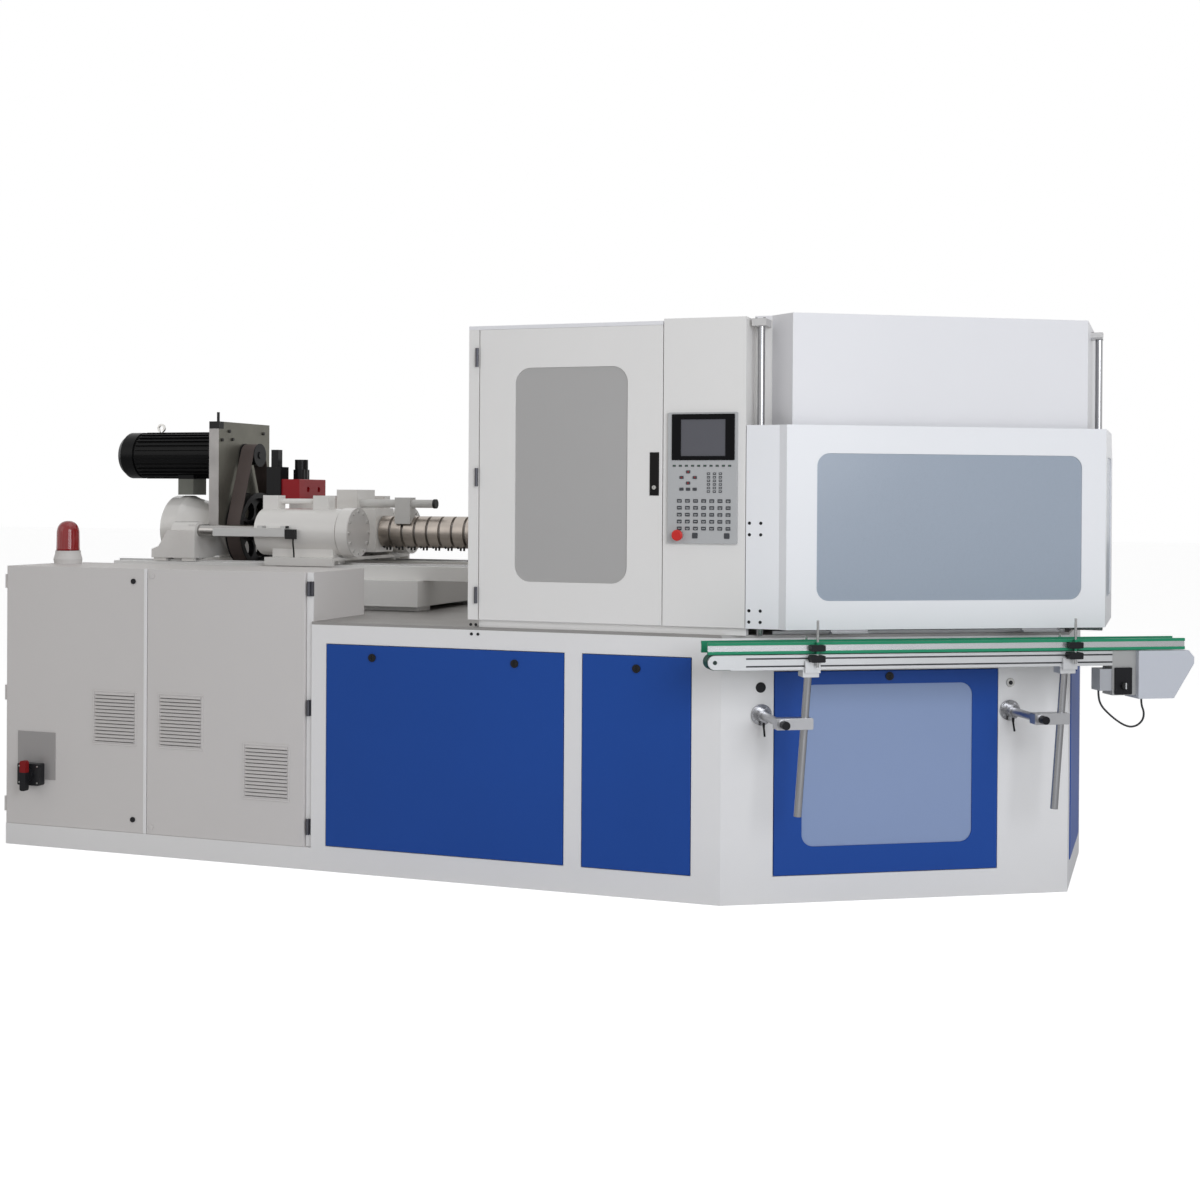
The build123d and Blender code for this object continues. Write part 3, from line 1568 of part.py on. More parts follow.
with BuildPart() as support_arms:
    for run in arm_runs:
        start = on_slant(run, -arm_tail, arm_height)
        add(bar(start, on_slant(run, arm_reach, arm_height), arm_radius))
        add(
            slab(
                slant_face, run - 26, run + post_shift + 28, arm_height - 22,
                arm_height + 22, post_offset_gap - 24, post_offset_gap + 24, 6,
            )
        )
        add(
            slab(
                slant_face, run + 0, run + 28, arm_height - 18,
                arm_height + 18, post_offset_gap + 24, post_offset_gap + 30, 4,
            )
        )
        centre = post_centre(run)
        add(
            bar(
                tuple(centre - post_direction * 60), tuple(centre + post_direction * 60),
                post_radius + close_gap,
            ),
            mode=Mode.SUBTRACT,
        )
save(support_arms.part, "support_arms")

with BuildPart() as conveyor_posts:
    for run in arm_runs:
        centre = post_centre(run)
        add(
            bar(
                tuple(centre - post_direction * post_down),
                tuple(centre + post_direction * post_up), post_radius,
            )
        )
save(conveyor_posts.part, "conveyor_posts")

# Conveyor frame: two grooved side profiles, cross ties, end plates and post brackets
profile_low = conveyor_axis_height - conveyor_half_height
profile_high = conveyor_axis_height + conveyor_half_height - 3
side_depth = 12.0
bracket_low = profile_low - 29


def side_profile(back, front, grooved_front):
    """Side profile with two grooves along its outer face."""
    with BuildPart() as piece:
        add(
            slab(
                slant_face, conveyor_start + 60, conveyor_end, profile_low, profile_high,
                back, front,
            )
        )
        groove = (front - 4, front + 1) if grooved_front else (back - 1, back + 4)
        for height in (profile_low + 14, profile_high - 14):
            add(
                slab(
                    slant_face, conveyor_start + 59, conveyor_end + 1, height - 3, height + 3,
                    *groove,
                ),
                mode=Mode.SUBTRACT,
            )
    return piece.part


rail_rod_radius = 5.0
rail_rod_front = conveyor_front + 30
rail_rod_back = conveyor_back - 26
rail_rod_shift = post_shift + 30
lower_clamp_low = 984.0
lower_clamp_high = 1010.0
with BuildPart() as conveyor_frame:
    add(side_profile(conveyor_front - side_depth, conveyor_front, True))
    add(side_profile(conveyor_back, conveyor_back + side_depth, False))
    for run in (120.0, 700.0, 1300.0):
        add(
            slab(
                slant_face, run - 20, run + 20, conveyor_axis_height - 12,
                conveyor_axis_height + 12, conveyor_back + side_depth,
                conveyor_front - side_depth,
            )
        )
    for back in (conveyor_back, conveyor_front - side_depth):
        with BuildSketch(slant_face.offset(back)):
            with Locations((conveyor_start + 60, conveyor_axis_height)):
                Rectangle(120, 2 * conveyor_half_height - 6)
            with Locations((conveyor_start, conveyor_axis_height)):
                Circle(conveyor_half_height - 3)
                Circle(8 + close_gap, mode=Mode.SUBTRACT)
        extrude(amount=side_depth)
    for run in arm_runs:
        top = post_centre(run) + post_direction * post_up
        shift = run + post_shift + post_up * lean_x
        add(
            slab(
                slant_face, shift - 32, shift + 32, bracket_low, profile_low,
                post_offset_gap - 26, conveyor_front, 2,
            )
        )
        add(
            slab(
                slant_face, shift - 26, shift + 34, profile_low - 12, profile_high - 22,
                conveyor_front, conveyor_front + 12, 2,
            )
        )
        centre = post_centre(run)
        add(
            bar(
                tuple(centre), tuple(centre + post_direction * (post_up + close_gap)),
                post_radius + close_gap,
            ),
            mode=Mode.SUBTRACT,
        )
    for run in arm_runs:
        for back, front, rod_gap in (
            (conveyor_front, conveyor_front + 42, rail_rod_front),
            (conveyor_back - 36, conveyor_back, rail_rod_back),
        ):
            middle = run + rail_rod_shift
            add(
                slab(
                    slant_face, middle - 28, middle + 28, lower_clamp_low,
                    lower_clamp_high, back, front, 5,
                )
            )
            add(
                bar(
                    on_slant(middle, rod_gap, lower_clamp_low - 1),
                    on_slant(middle, rod_gap, lower_clamp_high + 1),
                    rail_rod_radius + close_gap,
                ),
                mode=Mode.SUBTRACT,
            )
save(conveyor_frame.part, "conveyor_frame")

# Idler roller at the left end, turning on its axle pins
belt_back = conveyor_back + side_depth + 2
belt_front = conveyor_front - side_depth - 2
roller_radius = conveyor_half_height - 3
with BuildPart() as idler_roller:
    with BuildSketch(slant_face.offset(belt_back)):
        with Locations((conveyor_start, conveyor_axis_height)):
            Circle(roller_radius)
    extrude(amount=belt_front - belt_back)
    with BuildSketch(slant_face.offset(conveyor_back)):
        with Locations((conveyor_start, conveyor_axis_height)):
            Circle(8)
    extrude(amount=conveyor_front - conveyor_back)
save(idler_roller.part, "idler_roller")

# Belt of the conveyor: a closed loop from the idler to the drive box
belt_end = conveyor_end + 120.0
with BuildPart() as conveyor_belt:
    with BuildSketch(slant_face.offset(belt_back)):
        with Locations(((conveyor_start + belt_end) / 2, conveyor_axis_height)):
            SlotCenterToCenter(belt_end - conveyor_start, 2 * (roller_radius + close_gap + 2.5))
            SlotCenterToCenter(
                belt_end - conveyor_start, 2 * (roller_radius + close_gap), mode=Mode.SUBTRACT
            )
    extrude(amount=belt_front - belt_back)
save(conveyor_belt.part, "conveyor_belt")

# Guide rails: green profiles either side of the belt, on rods and black clamps
guide_low = 1016.0
guide_high = 1060.0
guide_start = -136.0
guide_end = 1801.0
with BuildPart() as guide_rails:
    for back, front, groove in (
        (conveyor_back - 14, conveyor_back, (conveyor_back - 15, conveyor_back - 10)),
        (conveyor_front, conveyor_front + 14, (conveyor_front + 10, conveyor_front + 15)),
    ):
        add(slab(slant_face, guide_start, guide_end, guide_low, guide_high, back, front))
        add(
            slab(
                slant_face, guide_start - 1, guide_end + 1, guide_low + 11, guide_high - 11,
                *groove,
            ),
            mode=Mode.SUBTRACT,
        )
    for run in arm_runs:
        middle = run + rail_rod_shift
        for back, front, rod_gap, top in (
            (conveyor_front + 14, conveyor_front + 42, rail_rod_front, 1142),
            (conveyor_back - 36, conveyor_back - 14, rail_rod_back, 1072),
        ):
            add(
                slab(
                    slant_face, middle - 28, middle + 28, guide_low + 10, guide_low + 34,
                    back, front, 5,
                )
            )
            foot, head = on_slant(middle, rod_gap, 965), on_slant(middle, rod_gap, top)
            add(bar(foot, head, rail_rod_radius))
save(guide_rails.part, "guide_rails")

# Drive housing: gear box, control box and the cover with cut corners
with BuildPart() as drive_housing:
    add(slab(slant_face, conveyor_end, 1601, 837, 1012, conveyor_back, conveyor_front))
    with BuildSketch(slant_face.offset(conveyor_back - 10)):
        with BuildLine():
            Polyline(
                (1601, 824), (1752, 824), (1838, 960), (1838, 985), (1815, 1012),
                (1601, 1012), close=True,
            )
        make_face()
    extrude(amount=conveyor_front + 20 - conveyor_back + 10)
    add(slab(slant_face, 1450, 1500, 855, 940, conveyor_back + 5, conveyor_front - 5))
    add(
        slab(
            slant_face, conveyor_end - 1, belt_end + roller_radius + 6,
            profile_low - 1, profile_high + 40, belt_back - 2, belt_front + 2,
        ),
        mode=Mode.SUBTRACT,
    )
    add(slab(slant_face, 1508, 1579, 841, 946, conveyor_front, conveyor_front + 10, 3))
save(drive_housing.part, "drive_housing")

# Speed knob on the face of the switch box
knob_run = 1544.0
knob_height = 876.0
with BuildPart() as speed_knob:
    with BuildSketch(slant_face.offset(conveyor_front + 10 + close_gap)):
        with Locations((knob_run, knob_height)):
            Circle(14)
    extrude(amount=14)
    with BuildSketch(slant_face.offset(conveyor_front + 24)):
        with Locations((knob_run, knob_height)):
            Rectangle(4, 24)
    extrude(amount=6)
save(speed_knob.part, "speed_knob")

# Lead of the drive: a loop that hangs from the gear box to the cover
drive_gap = (conveyor_back + conveyor_front) / 2
drive_cable_radius = 4.0
drive_route = [
    (1462, 0, 855), (1462, 0, 823), (1474, 4, 790), (1500, 9, 763), (1532, 5, 738),
    (1568, 1, 716), (1602, -4, 705), (1634, -6, 711), (1656, -3, 734), (1658, 0, 765),
    (1644, 2, 794), (1644, 2, 824),
]
drive_points = [on_slant(run, drive_gap + swing, height) for run, swing, height in drive_route]
save(cord(drive_points, drive_cable_radius), "drive_cable")
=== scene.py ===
from math import atan2, cos, pi, radians, sin

import bmesh
import bpy
from mathutils import Matrix, Vector


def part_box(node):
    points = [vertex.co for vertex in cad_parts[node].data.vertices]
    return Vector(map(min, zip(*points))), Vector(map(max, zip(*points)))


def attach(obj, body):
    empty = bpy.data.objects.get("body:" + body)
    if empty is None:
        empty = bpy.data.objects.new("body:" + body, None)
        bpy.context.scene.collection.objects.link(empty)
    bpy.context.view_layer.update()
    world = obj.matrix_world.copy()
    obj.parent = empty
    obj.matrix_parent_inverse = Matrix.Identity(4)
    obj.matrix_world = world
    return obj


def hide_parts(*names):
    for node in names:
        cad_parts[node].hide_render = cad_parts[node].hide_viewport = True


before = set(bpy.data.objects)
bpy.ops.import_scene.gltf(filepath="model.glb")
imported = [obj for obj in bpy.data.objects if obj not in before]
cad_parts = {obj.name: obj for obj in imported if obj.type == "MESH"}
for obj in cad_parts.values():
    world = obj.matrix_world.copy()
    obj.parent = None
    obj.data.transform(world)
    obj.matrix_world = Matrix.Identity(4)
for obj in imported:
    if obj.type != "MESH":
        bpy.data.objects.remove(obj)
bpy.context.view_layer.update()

# Base frame: a welded sheet-steel box under the whole machine, powder coated white.
# The coat has a faint orange peel, drifts a little in tone over a metre and is painted greyer
# towards the floor, over its lowest quarter metre.
corner_x, half_width, slant_turn = -0.190, 1.140, radians(30)
slant_shift = (
    -(cos(slant_turn) * corner_x - sin(slant_turn) * half_width),
    sin(slant_turn) * corner_x + cos(slant_turn) * half_width,
    0.0,
)


def between(tree, value, low, high):
    """1 where a value lies between two limits, else 0."""
    nodes = tree.nodes
    above = nodes.new("ShaderNodeMath")
    above.operation = "GREATER_THAN"
    above.inputs[1].default_value = low
    below = nodes.new("ShaderNodeMath")
    below.operation = "LESS_THAN"
    below.inputs[1].default_value = high
    both = nodes.new("ShaderNodeMath")
    both.operation = "MULTIPLY"
    tree.links.new(value, above.inputs[0])
    tree.links.new(value, below.inputs[0])
    tree.links.new(above.outputs[0], both.inputs[0])
    tree.links.new(below.outputs[0], both.inputs[1])
    return both.outputs[0]


def zone_mask(tree, place, limits):
    """1 inside a box of x, y and z limits, else 0."""
    split = tree.nodes.new("ShaderNodeSeparateXYZ")
    tree.links.new(place, split.inputs[0])
    mask = None
    for axis, (low, high) in limits.items():
        part = between(tree, split.outputs[axis.upper()], low, high)
        if mask is not None:
            product = tree.nodes.new("ShaderNodeMath")
            product.operation = "MULTIPLY"
            tree.links.new(mask, product.inputs[0])
            tree.links.new(part, product.inputs[1])
            part = product.outputs[0]
        mask = part
    return mask


def feed(tree, value, socket):
    """Link an output to a socket, or set a plain value on it."""
    if hasattr(value, "is_output"):
        tree.links.new(value, socket)
    else:
        socket.default_value = value


def mixed(tree, mask, before, after, kind):
    """A colour or number that changes to another one where the mask is 1."""
    mix = tree.nodes.new("ShaderNodeMix")
    mix.data_type = kind
    first, second, result = {"RGBA": (6, 7, 2), "FLOAT": (2, 3, 0)}[kind]
    tree.links.new(mask, mix.inputs[0])
    feed(tree, before, mix.inputs[first])
    mix.inputs[second].default_value = after
    return mix.outputs[result]


def finish(name, colour, rough, metal=0.0, drift=0.05, drift_size=0.5, grain=0.0015,
           relief=0.00004, grain_stretch=(1, 1, 1), rough_spread=0.06, coat=0.0,
           zones=(), slanted=False, floor_darkening=0.0, edge=0.0012, specular=0.25):
    """A finish with slow tone drift, fine grain in gloss and relief, and soft edges.

    Zones are (limits, colour, rough, metal): parts of the same piece in another finish.
    """
    material = bpy.data.materials.new(name)
    material.use_nodes = True
    tree = material.node_tree
    nodes, link = tree.nodes, tree.links.new
    shader = nodes["Principled BSDF"]
    place = nodes.new("ShaderNodeTexCoord").outputs["Object"]
    slow = nodes.new("ShaderNodeTexNoise")
    slow.inputs["Scale"].default_value = 1 / drift_size
    slow.inputs["Detail"].default_value = 4
    link(place, slow.inputs["Vector"])
    stretch = nodes.new("ShaderNodeMapping")
    stretch.inputs["Scale"].default_value = grain_stretch
    link(place, stretch.inputs["Vector"])
    fine = nodes.new("ShaderNodeTexNoise")
    fine.inputs["Scale"].default_value = 1 / grain
    fine.inputs["Detail"].default_value = 2
    link(stretch.outputs[0], fine.inputs["Vector"])
    tone, gloss, shine = (*colour, 1), rough, metal
    if zones:
        spot = place
        if slanted:
            turn = nodes.new("ShaderNodeMapping")
            turn.inputs["Rotation"].default_value = (0, 0, -slant_turn)
            turn.inputs["Location"].default_value = slant_shift
            link(place, turn.inputs["Vector"])
            spot = turn.outputs[0]
        for limits, zone_colour, zone_rough, zone_metal in zones:
            mask = zone_mask(tree, spot, limits)
            tone = mixed(tree, mask, tone, (*zone_colour, 1), "RGBA")
            gloss = mixed(tree, mask, gloss, zone_rough, "FLOAT")
            shine = mixed(tree, mask, shine, zone_metal, "FLOAT")
    shade = nodes.new("ShaderNodeMapRange")
    shade.inputs["To Min"].default_value = 1 - drift
    shade.inputs["To Max"].default_value = 1 + drift
    link(slow.outputs[0], shade.inputs["Value"])
    toned = nodes.new("ShaderNodeVectorMath")
    toned.operation = "SCALE"
    feed(tree, tone if zones else tone[:3], toned.inputs[0])
    link(shade.outputs[0], toned.inputs["Scale"])
    colour_out = toned.outputs[0]
    # darker towards the floor: the colour is scaled down over the lowest 0.25 m
    if floor_darkening:
        split = nodes.new("ShaderNodeSeparateXYZ")
        link(place, split.inputs[0])
        fade = nodes.new("ShaderNodeMapRange")
        fade.inputs["From Max"].default_value = 0.25
        fade.inputs["To Min"].default_value = 1 - floor_darkening
        fade.inputs["To Max"].default_value = 1
        link(split.outputs["Z"], fade.inputs["Value"])
        darkened = nodes.new("ShaderNodeVectorMath")
        darkened.operation = "SCALE"
        link(colour_out, darkened.inputs[0])
        link(fade.outputs[0], darkened.inputs["Scale"])
        colour_out = darkened.outputs[0]
    link(colour_out, shader.inputs["Base Color"])
    vary = nodes.new("ShaderNodeMapRange")
    vary.inputs["To Min"].default_value = -rough_spread
    vary.inputs["To Max"].default_value = rough_spread
    link(fine.outputs[0], vary.inputs["Value"])
    total = nodes.new("ShaderNodeMath")
    total.operation = "ADD"
    total.use_clamp = True
    feed(tree, gloss, total.inputs[0])
    link(vary.outputs[0], total.inputs[1])
    link(total.outputs[0], shader.inputs["Roughness"])
    feed(tree, shine, shader.inputs["Metallic"])
    shader.inputs["Specular IOR Level"].default_value = specular
    if coat:
        shader.inputs["Coat Weight"].default_value = coat
        shader.inputs["Coat Roughness"].default_value = 0.15
    bump = nodes.new("ShaderNodeBump")
    bump.inputs["Distance"].default_value = relief
    link(fine.outputs[0], bump.inputs["Height"])
    if edge:
        soft = nodes.new("ShaderNodeBevel")
        soft.samples = 3
        soft.inputs["Radius"].default_value = edge
        link(soft.outputs[0], bump.inputs["Normal"])
    link(bump.outputs[0], shader.inputs["Normal"])
    return material


def dress(material, *names):
    """Give CAD nodes their finish."""
    for name in names:
        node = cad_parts[name]
        node.data.materials.clear()
        node.data.materials.append(material)


white_coat = finish(
    "white_coat", (0.86, 0.85, 0.845), 0.42, drift=0.02, floor_darkening=0.06, coat=0.1
)
dress(white_coat, "base_frame")

# Deck: a machined steel plate on top of the base. It is left bare and oiled, so it
# is darker than the frame, with milling marks along the machine.
bare_deck = finish(
    "bare_deck", (0.33, 0.32, 0.31), 0.45, metal=0.7, drift=0.14, drift_size=0.15,
    grain=0.004, grain_stretch=(0.08, 1, 1), relief=0.00006,
)
dress(bare_deck, "deck_plate")

# Blue panels: folded steel trays in the base's hatches, in deep blue stove enamel.
# Each hangs on black quarter-turn locks that stand 5 mm proud of the sheet.
blue = (0.012, 0.070, 0.340)
lock_black = (0.012, 0.012, 0.014)
sheet_front = half_width + 0.0042
blue_front = finish(
    "blue_front", blue, 0.38, drift=0.08, drift_size=0.7, specular=0.22,
    zones=(({"y": (-2, -sheet_front)}, lock_black, 0.35, 0.0),
           ({"y": (sheet_front, 2)}, lock_black, 0.35, 0.0)),
)
dress(blue_front, "front_panel_wide", "front_panel_narrow")
blue_slant = finish(
    "blue_slant", blue, 0.38, drift=0.08, drift_size=0.7, specular=0.22, slanted=True,
    zones=(({"y": (-0.05, -0.0042)}, lock_black, 0.35, 0.0),),
)
dress(blue_slant, "window_panel")
blue_plain = finish("blue_plain", blue, 0.38, drift=0.08, drift_size=0.7, specular=0.22)
dress(blue_plain, "end_panel", "rear_panels")

# Panes: frosted sheet in the blue window panel, the enclosure door and the guard.
# It lets light through but no shapes, with a soft sheen and a fine even frost.


def frosted(name, colour, rough):
    """Milky sheet with a fine frost and a slow change of tone."""
    material = finish(
        name, colour, rough, drift=0.04, drift_size=0.9, grain=0.0012, relief=0.00001,
        rough_spread=0.03, coat=0.2, edge=0,
    )
    shader = material.node_tree.nodes["Principled BSDF"]
    shader.inputs["Transmission Weight"].default_value = 0.12
    shader.inputs["IOR"].default_value = 1.45
    return material


dress(frosted("frosted_blue", (0.31, 0.405, 0.64), 0.32), "window_pane")
dress(frosted("frosted_grey", (0.51, 0.50, 0.49), 0.30), "enclosure_window")
dress(frosted("frosted_guard", (0.41, 0.47, 0.555), 0.28), "guard_windows")

# Electric cabinet: a sheet box with two doors in a warmer, flatter white, louvred for
# air. The doors close on black round locks.
cabinet_white = (0.69, 0.665, 0.65)
door_front = half_width + 0.0005
cabinet_coat = finish("cabinet_coat", cabinet_white, 0.5, drift=0.02)
dress(cabinet_coat, "electric_cabinet")
door_coat = finish(
    "door_coat", cabinet_white, 0.5, drift=0.02,
    zones=(({"z": (1.19, 1.26), "x": (-2.95, -2.82), "y": (-1.2, -door_front)},
            lock_black, 0.4, 0.0),
           ({"z": (0.10, 0.18), "x": (-2.95, -2.82), "y": (-1.2, -door_front)},
            lock_black, 0.4, 0.0),
           ({"x": (-3.498, -3.295), "z": (0.281, 0.521), "y": (-1.2, -door_front)},
            (0.38, 0.365, 0.36), 0.3, 0.2),
           # painted highlight: the left door's edge lip by the middle gap is painted lighter, as
           # if it caught the light
           ({"x": (-2.8325, -2.8184), "y": (-1.2, -1.1205)}, (0.86, 0.85, 0.85), 0.45, 0.0),
           ({"x": (-3.470, -3.351), "z": (0.281, 0.381), "y": (-1.2, -1.1445)},
            (0.02, 0.02, 0.022), 0.35, 0.0)),
)
dress(door_coat, "cabinet_door_left", "cabinet_door_right")

# Isolator on the left door: a steel backing plate with a black switch body, whose
# four screws are bright, and a black rotary handle with a red grip bar.
grip_red, screw_steel = (0.24, 0.012, 0.014), (0.55, 0.54, 0.52)


def shaped(name, build, material, body):
    """One new piece made with bmesh, with outward normals, that rides on a body."""
    mesh = bpy.data.meshes.new(name)
    shape = bmesh.new()
    build(shape)
    bmesh.ops.recalc_face_normals(shape, faces=shape.faces)
    shape.to_mesh(mesh)
    shape.free()
    piece = bpy.data.objects.new(name, mesh)
    bpy.context.scene.collection.objects.link(piece)
    piece.data.materials.append(material)
    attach(piece, body)
    return piece


def facing(point, out, across):
    """A frame at a point: Z points out of a face and X runs across it."""
    out, across = Vector(out).normalized(), Vector(across).normalized()
    up = out.cross(across)
    turn = Matrix((across, up, out)).transposed().to_4x4()
    return Matrix.Translation(point) @ turn


def tile(shape, frame_at, width, height, depth, edge):
    """A bevelled block that stands on a face."""
    made = bmesh.ops.create_cube(shape, size=1)["verts"]
    bmesh.ops.scale(shape, vec=(width, height, depth), verts=made)
    bmesh.ops.translate(shape, vec=(0, 0, depth / 2), verts=made)
    bmesh.ops.transform(shape, matrix=frame_at, verts=made)
    if edge:
        bmesh.ops.bevel(
            shape, geom=list({e for v in made for e in v.link_edges}), offset=edge,
            segments=2, affect="EDGES", profile=0.5, material=-1,
        )


def disc(shape, frame_at, radius, depth, top=None, segments=24):
    """A round head that stands on a face, with a top of its own radius."""
    made = bmesh.ops.create_cone(
        shape, cap_ends=True, segments=segments, radius1=radius,
        radius2=radius if top is None else top, depth=depth,
    )
    bmesh.ops.translate(shape, vec=(0, 0, depth / 2), verts=made["verts"])
    bmesh.ops.transform(shape, matrix=frame_at, verts=made["verts"])


front_out, front_across = (0, -1, 0), (1, 0, 0)
handle_coat = finish(
    "isolator_handle_coat", (0.015, 0.015, 0.017), 0.38, drift=0.03,
    zones=(({"z": (0.345, 0.42), "y": (-1.3, -1.2003)}, grip_red, 0.35, 0.0),),
    specular=0.15,
)
dress(handle_coat, "isolator_handle")
bright_screw = finish("bright_screw", screw_steel, 0.3, metal=1.0, drift=0.05, grain=0.0005)


def isolator_screws(shape):
    for x in (-3.458, -3.363):
        for z in (0.294, 0.368):
            disc(shape, facing((x, -half_width - 0.044, z), front_out, front_across),
                 0.0042, 0.0008, 0.0036)


shaped("isolator_screws", isolator_screws, bright_screw, "cabinet_door_left")

# Louvre rims: narrow pressed borders round each louvred field of the doors, and a
# folded cover strip in white between the right door and the cabinet's corner.


def rim_round(shape, x, z):
    """Four bars round a louvred field with its centre at x and z."""
    bars = ((0, 0.1175, 0.232, 0.008), (0, -0.1205, 0.232, 0.008),
            (-0.112, -0.0015, 0.008, 0.230), (0.112, -0.0015, 0.008, 0.230))
    for across, up, width, height in bars:
        tile(shape, facing((x + across, -half_width, z + up), front_out, front_across),
             width, height, 0.0035, 0.001)


def left_rims(shape):
    rim_round(shape, -2.983, 0.604)


def right_rims(shape):
    rim_round(shape, -2.644, 0.604)
    rim_round(shape, -2.214, 0.407)


def cover_strip(shape):
    tile(shape, facing((-2.0125, -half_width + 0.020, 0.683), front_out, front_across),
         0.031, 1.174, 0.005, 0.001)


shaped("left_rims", left_rims, cabinet_coat, "cabinet_door_left")
shaped("right_rims", right_rims, cabinet_coat, "cabinet_door_right")
shaped("cover_strip", cover_strip, white_coat, "machine")

# Beacon: a turned white foot and a red lens, moulded clear with upright flutes
# inside its wall, so it is dark at the rim and lit in the middle.
lens_low, lens_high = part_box("beacon_lens")
dress(finish("beacon_foot", (0.72, 0.70, 0.68), 0.45, drift=0.03), "beacon_base")
lens_red = finish(
    "lens_red", (0.34, 0.006, 0.008), 0.12, drift=0.12, drift_size=0.03, grain=0.01,
    relief=0.0, coat=0.6, edge=0,
)
lens_red.node_tree.nodes["Principled BSDF"].inputs["Transmission Weight"].default_value = 0.15


def fluted_lens(shape):
    """A dome of revolution whose wall carries 24 upright flutes."""
    outline = ((0.0535, 0.0), (0.0532, 0.008), (0.0518, 0.088), (0.0495, 0.103),
               (0.0450, 0.115), (0.0380, 0.125), (0.0290, 0.133), (0.0180, 0.138),
               (0.0080, 0.140))
    knots = [shape.verts.new((radius, 0, height)) for radius, height in outline]
    lines = [shape.edges.new(pair) for pair in zip(knots, knots[1:])]
    bmesh.ops.spin(
        shape, geom=knots + lines, cent=(0, 0, 0), axis=(0, 0, 1), angle=2 * pi, steps=192,
        use_merge=True,
    )
    bmesh.ops.holes_fill(shape, edges=[e for e in shape.edges if e.is_boundary])
    wall_low, wall_high, flutes, flute_depth = 0.005, 0.1, 24, 0.0011
    for vert in shape.verts:
        if wall_low < vert.co.z < wall_high:
            wave = (1 + cos(flutes * atan2(vert.co.y, vert.co.x))) / 2
            vert.co.xy = vert.co.xy * (1 - flute_depth * wave / vert.co.xy.length)
    middle, above_foot = (lens_low + lens_high) / 2, 0.0005
    bmesh.ops.translate(
        shape, vec=(middle.x, middle.y, lens_low.z + above_foot), verts=shape.verts
    )


lens = shaped("fluted_lens", fluted_lens, lens_red, "machine")
flat_end_area = 0.0002
for face in lens.data.polygons:
    face.use_smooth = face.area < flat_end_area
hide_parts("beacon_lens")

# Enclosure: folded sheet walls, roof and column in the same white coat. The walls and door carry
# a warmer, slightly darker copy of it as painted shade, and the roof a cooler copy as painted
# light. The door leaf stands on three dark hinges.
warm_shade_coat = finish("warm_shade_coat", (0.85, 0.835, 0.815), 0.42, drift=0.02, coat=0.1)
dress(warm_shade_coat, "front_enclosure", "rear_enclosure", "enclosure_door")
cool_lit_coat = finish("cool_lit_coat", (0.86, 0.855, 0.875), 0.42, drift=0.02, coat=0.1)
dress(cool_lit_coat, "upper_hood")
hinge_steel = finish(
    "hinge_steel", (0.10, 0.10, 0.115), 0.4, metal=0.6, grain=0.001,
    zones=(({"x": (-3.7, -3.5)}, cabinet_white, 0.5, 0.0),),
)
dress(hinge_steel, "door_hinges")

# Flush door handle: a black moulded lever in its seat, with a bright round lock
# cylinder near its foot and a key slot across it.
handle_black = finish("handle_black", (0.010, 0.009, 0.009), 0.36, drift=0.03, specular=0.12)
dress(handle_black, "enclosure_handle")
handle_low, handle_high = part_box("enclosure_handle")
lock_at = Vector(((handle_low.x + handle_high.x) / 2, handle_low.y, handle_low.z + 0.032))


def lock_cylinder(shape):
    disc(shape, facing(lock_at, front_out, front_across), 0.0085, 0.0008, 0.0078)


shaped("lock_cylinder", lock_cylinder, bright_screw, "enclosure_handle")


# Painted shade: a thin black tile on the lock cylinder stands for the key slot.
def key_slot_shade(shape):
    tile(shape, facing(lock_at + Vector((0, -0.0008, 0)), front_out, front_across),
         0.0016, 0.008, 0.0002, 0)


shaped("key_slot_shade", key_slot_shade, handle_coat, "enclosure_handle")

# Control panel: a flat grey housing with a black glass bezel round its screen and a
# sealed keypad. The keys are printed sheet over domes, dark with pale middles, so
# their print stands on key_plane.
bezel_black, screen_grey = (0.002, 0.002, 0.003), (0.125, 0.125, 0.140)
key_dark = (0.075, 0.078, 0.085)
panel_coat = finish(
    "panel_coat", (0.50, 0.505, 0.51), 0.4, drift=0.02, metal=0.15, specular=0.1,
    zones=(({"z": (1.745, 1.932), "y": (-1.2, -1.1641)}, bezel_black, 0.12, 0.0),
           ({"z": (1.764, 1.908), "x": (-0.353, -0.172), "y": (-1.17, -1.1)},
            screen_grey, 0.1, 0.0),
           ({"z": (1.44, 1.745), "y": (-1.1665, -1.16405)}, key_dark, 0.45, 0.0)),
)
dress(panel_coat, "control_panel")
key_plane = -half_width - 0.026
print_depth = 0.0003
key_print = finish("key_print", (0.52, 0.53, 0.53), 0.5, drift=0.02, grain=0.001)
arrow_red = finish("arrow_red", (0.40, 0.02, 0.02), 0.45, drift=0.02, grain=0.001)
lamp_green = finish("lamp_green", (0.03, 0.30, 0.08), 0.3, drift=0.02, grain=0.001)


def pale_key_middles(shape):
    """Printed middles of the main keys, slim keys and the row under the screen."""
    for column in range(7):
        for row in range(5):
            x, z = -0.358 + column * 0.033, 1.480 + row * 0.027
            tile(shape, facing((x, key_plane, z), front_out, front_across),
                 0.0125, 0.0022, print_depth, 0)
            if (column + row) % 3:
                tile(shape, facing((x, key_plane, z - 0.0042), front_out, front_across),
                     0.008, 0.0016, print_depth, 0)
    for column in range(3):
        for row in range(6):
            at = (-0.240 + column * 0.024, key_plane, 1.625 + row * 0.014)
            tile(shape, facing(at, front_out, front_across), 0.007, 0.003, print_depth, 0)


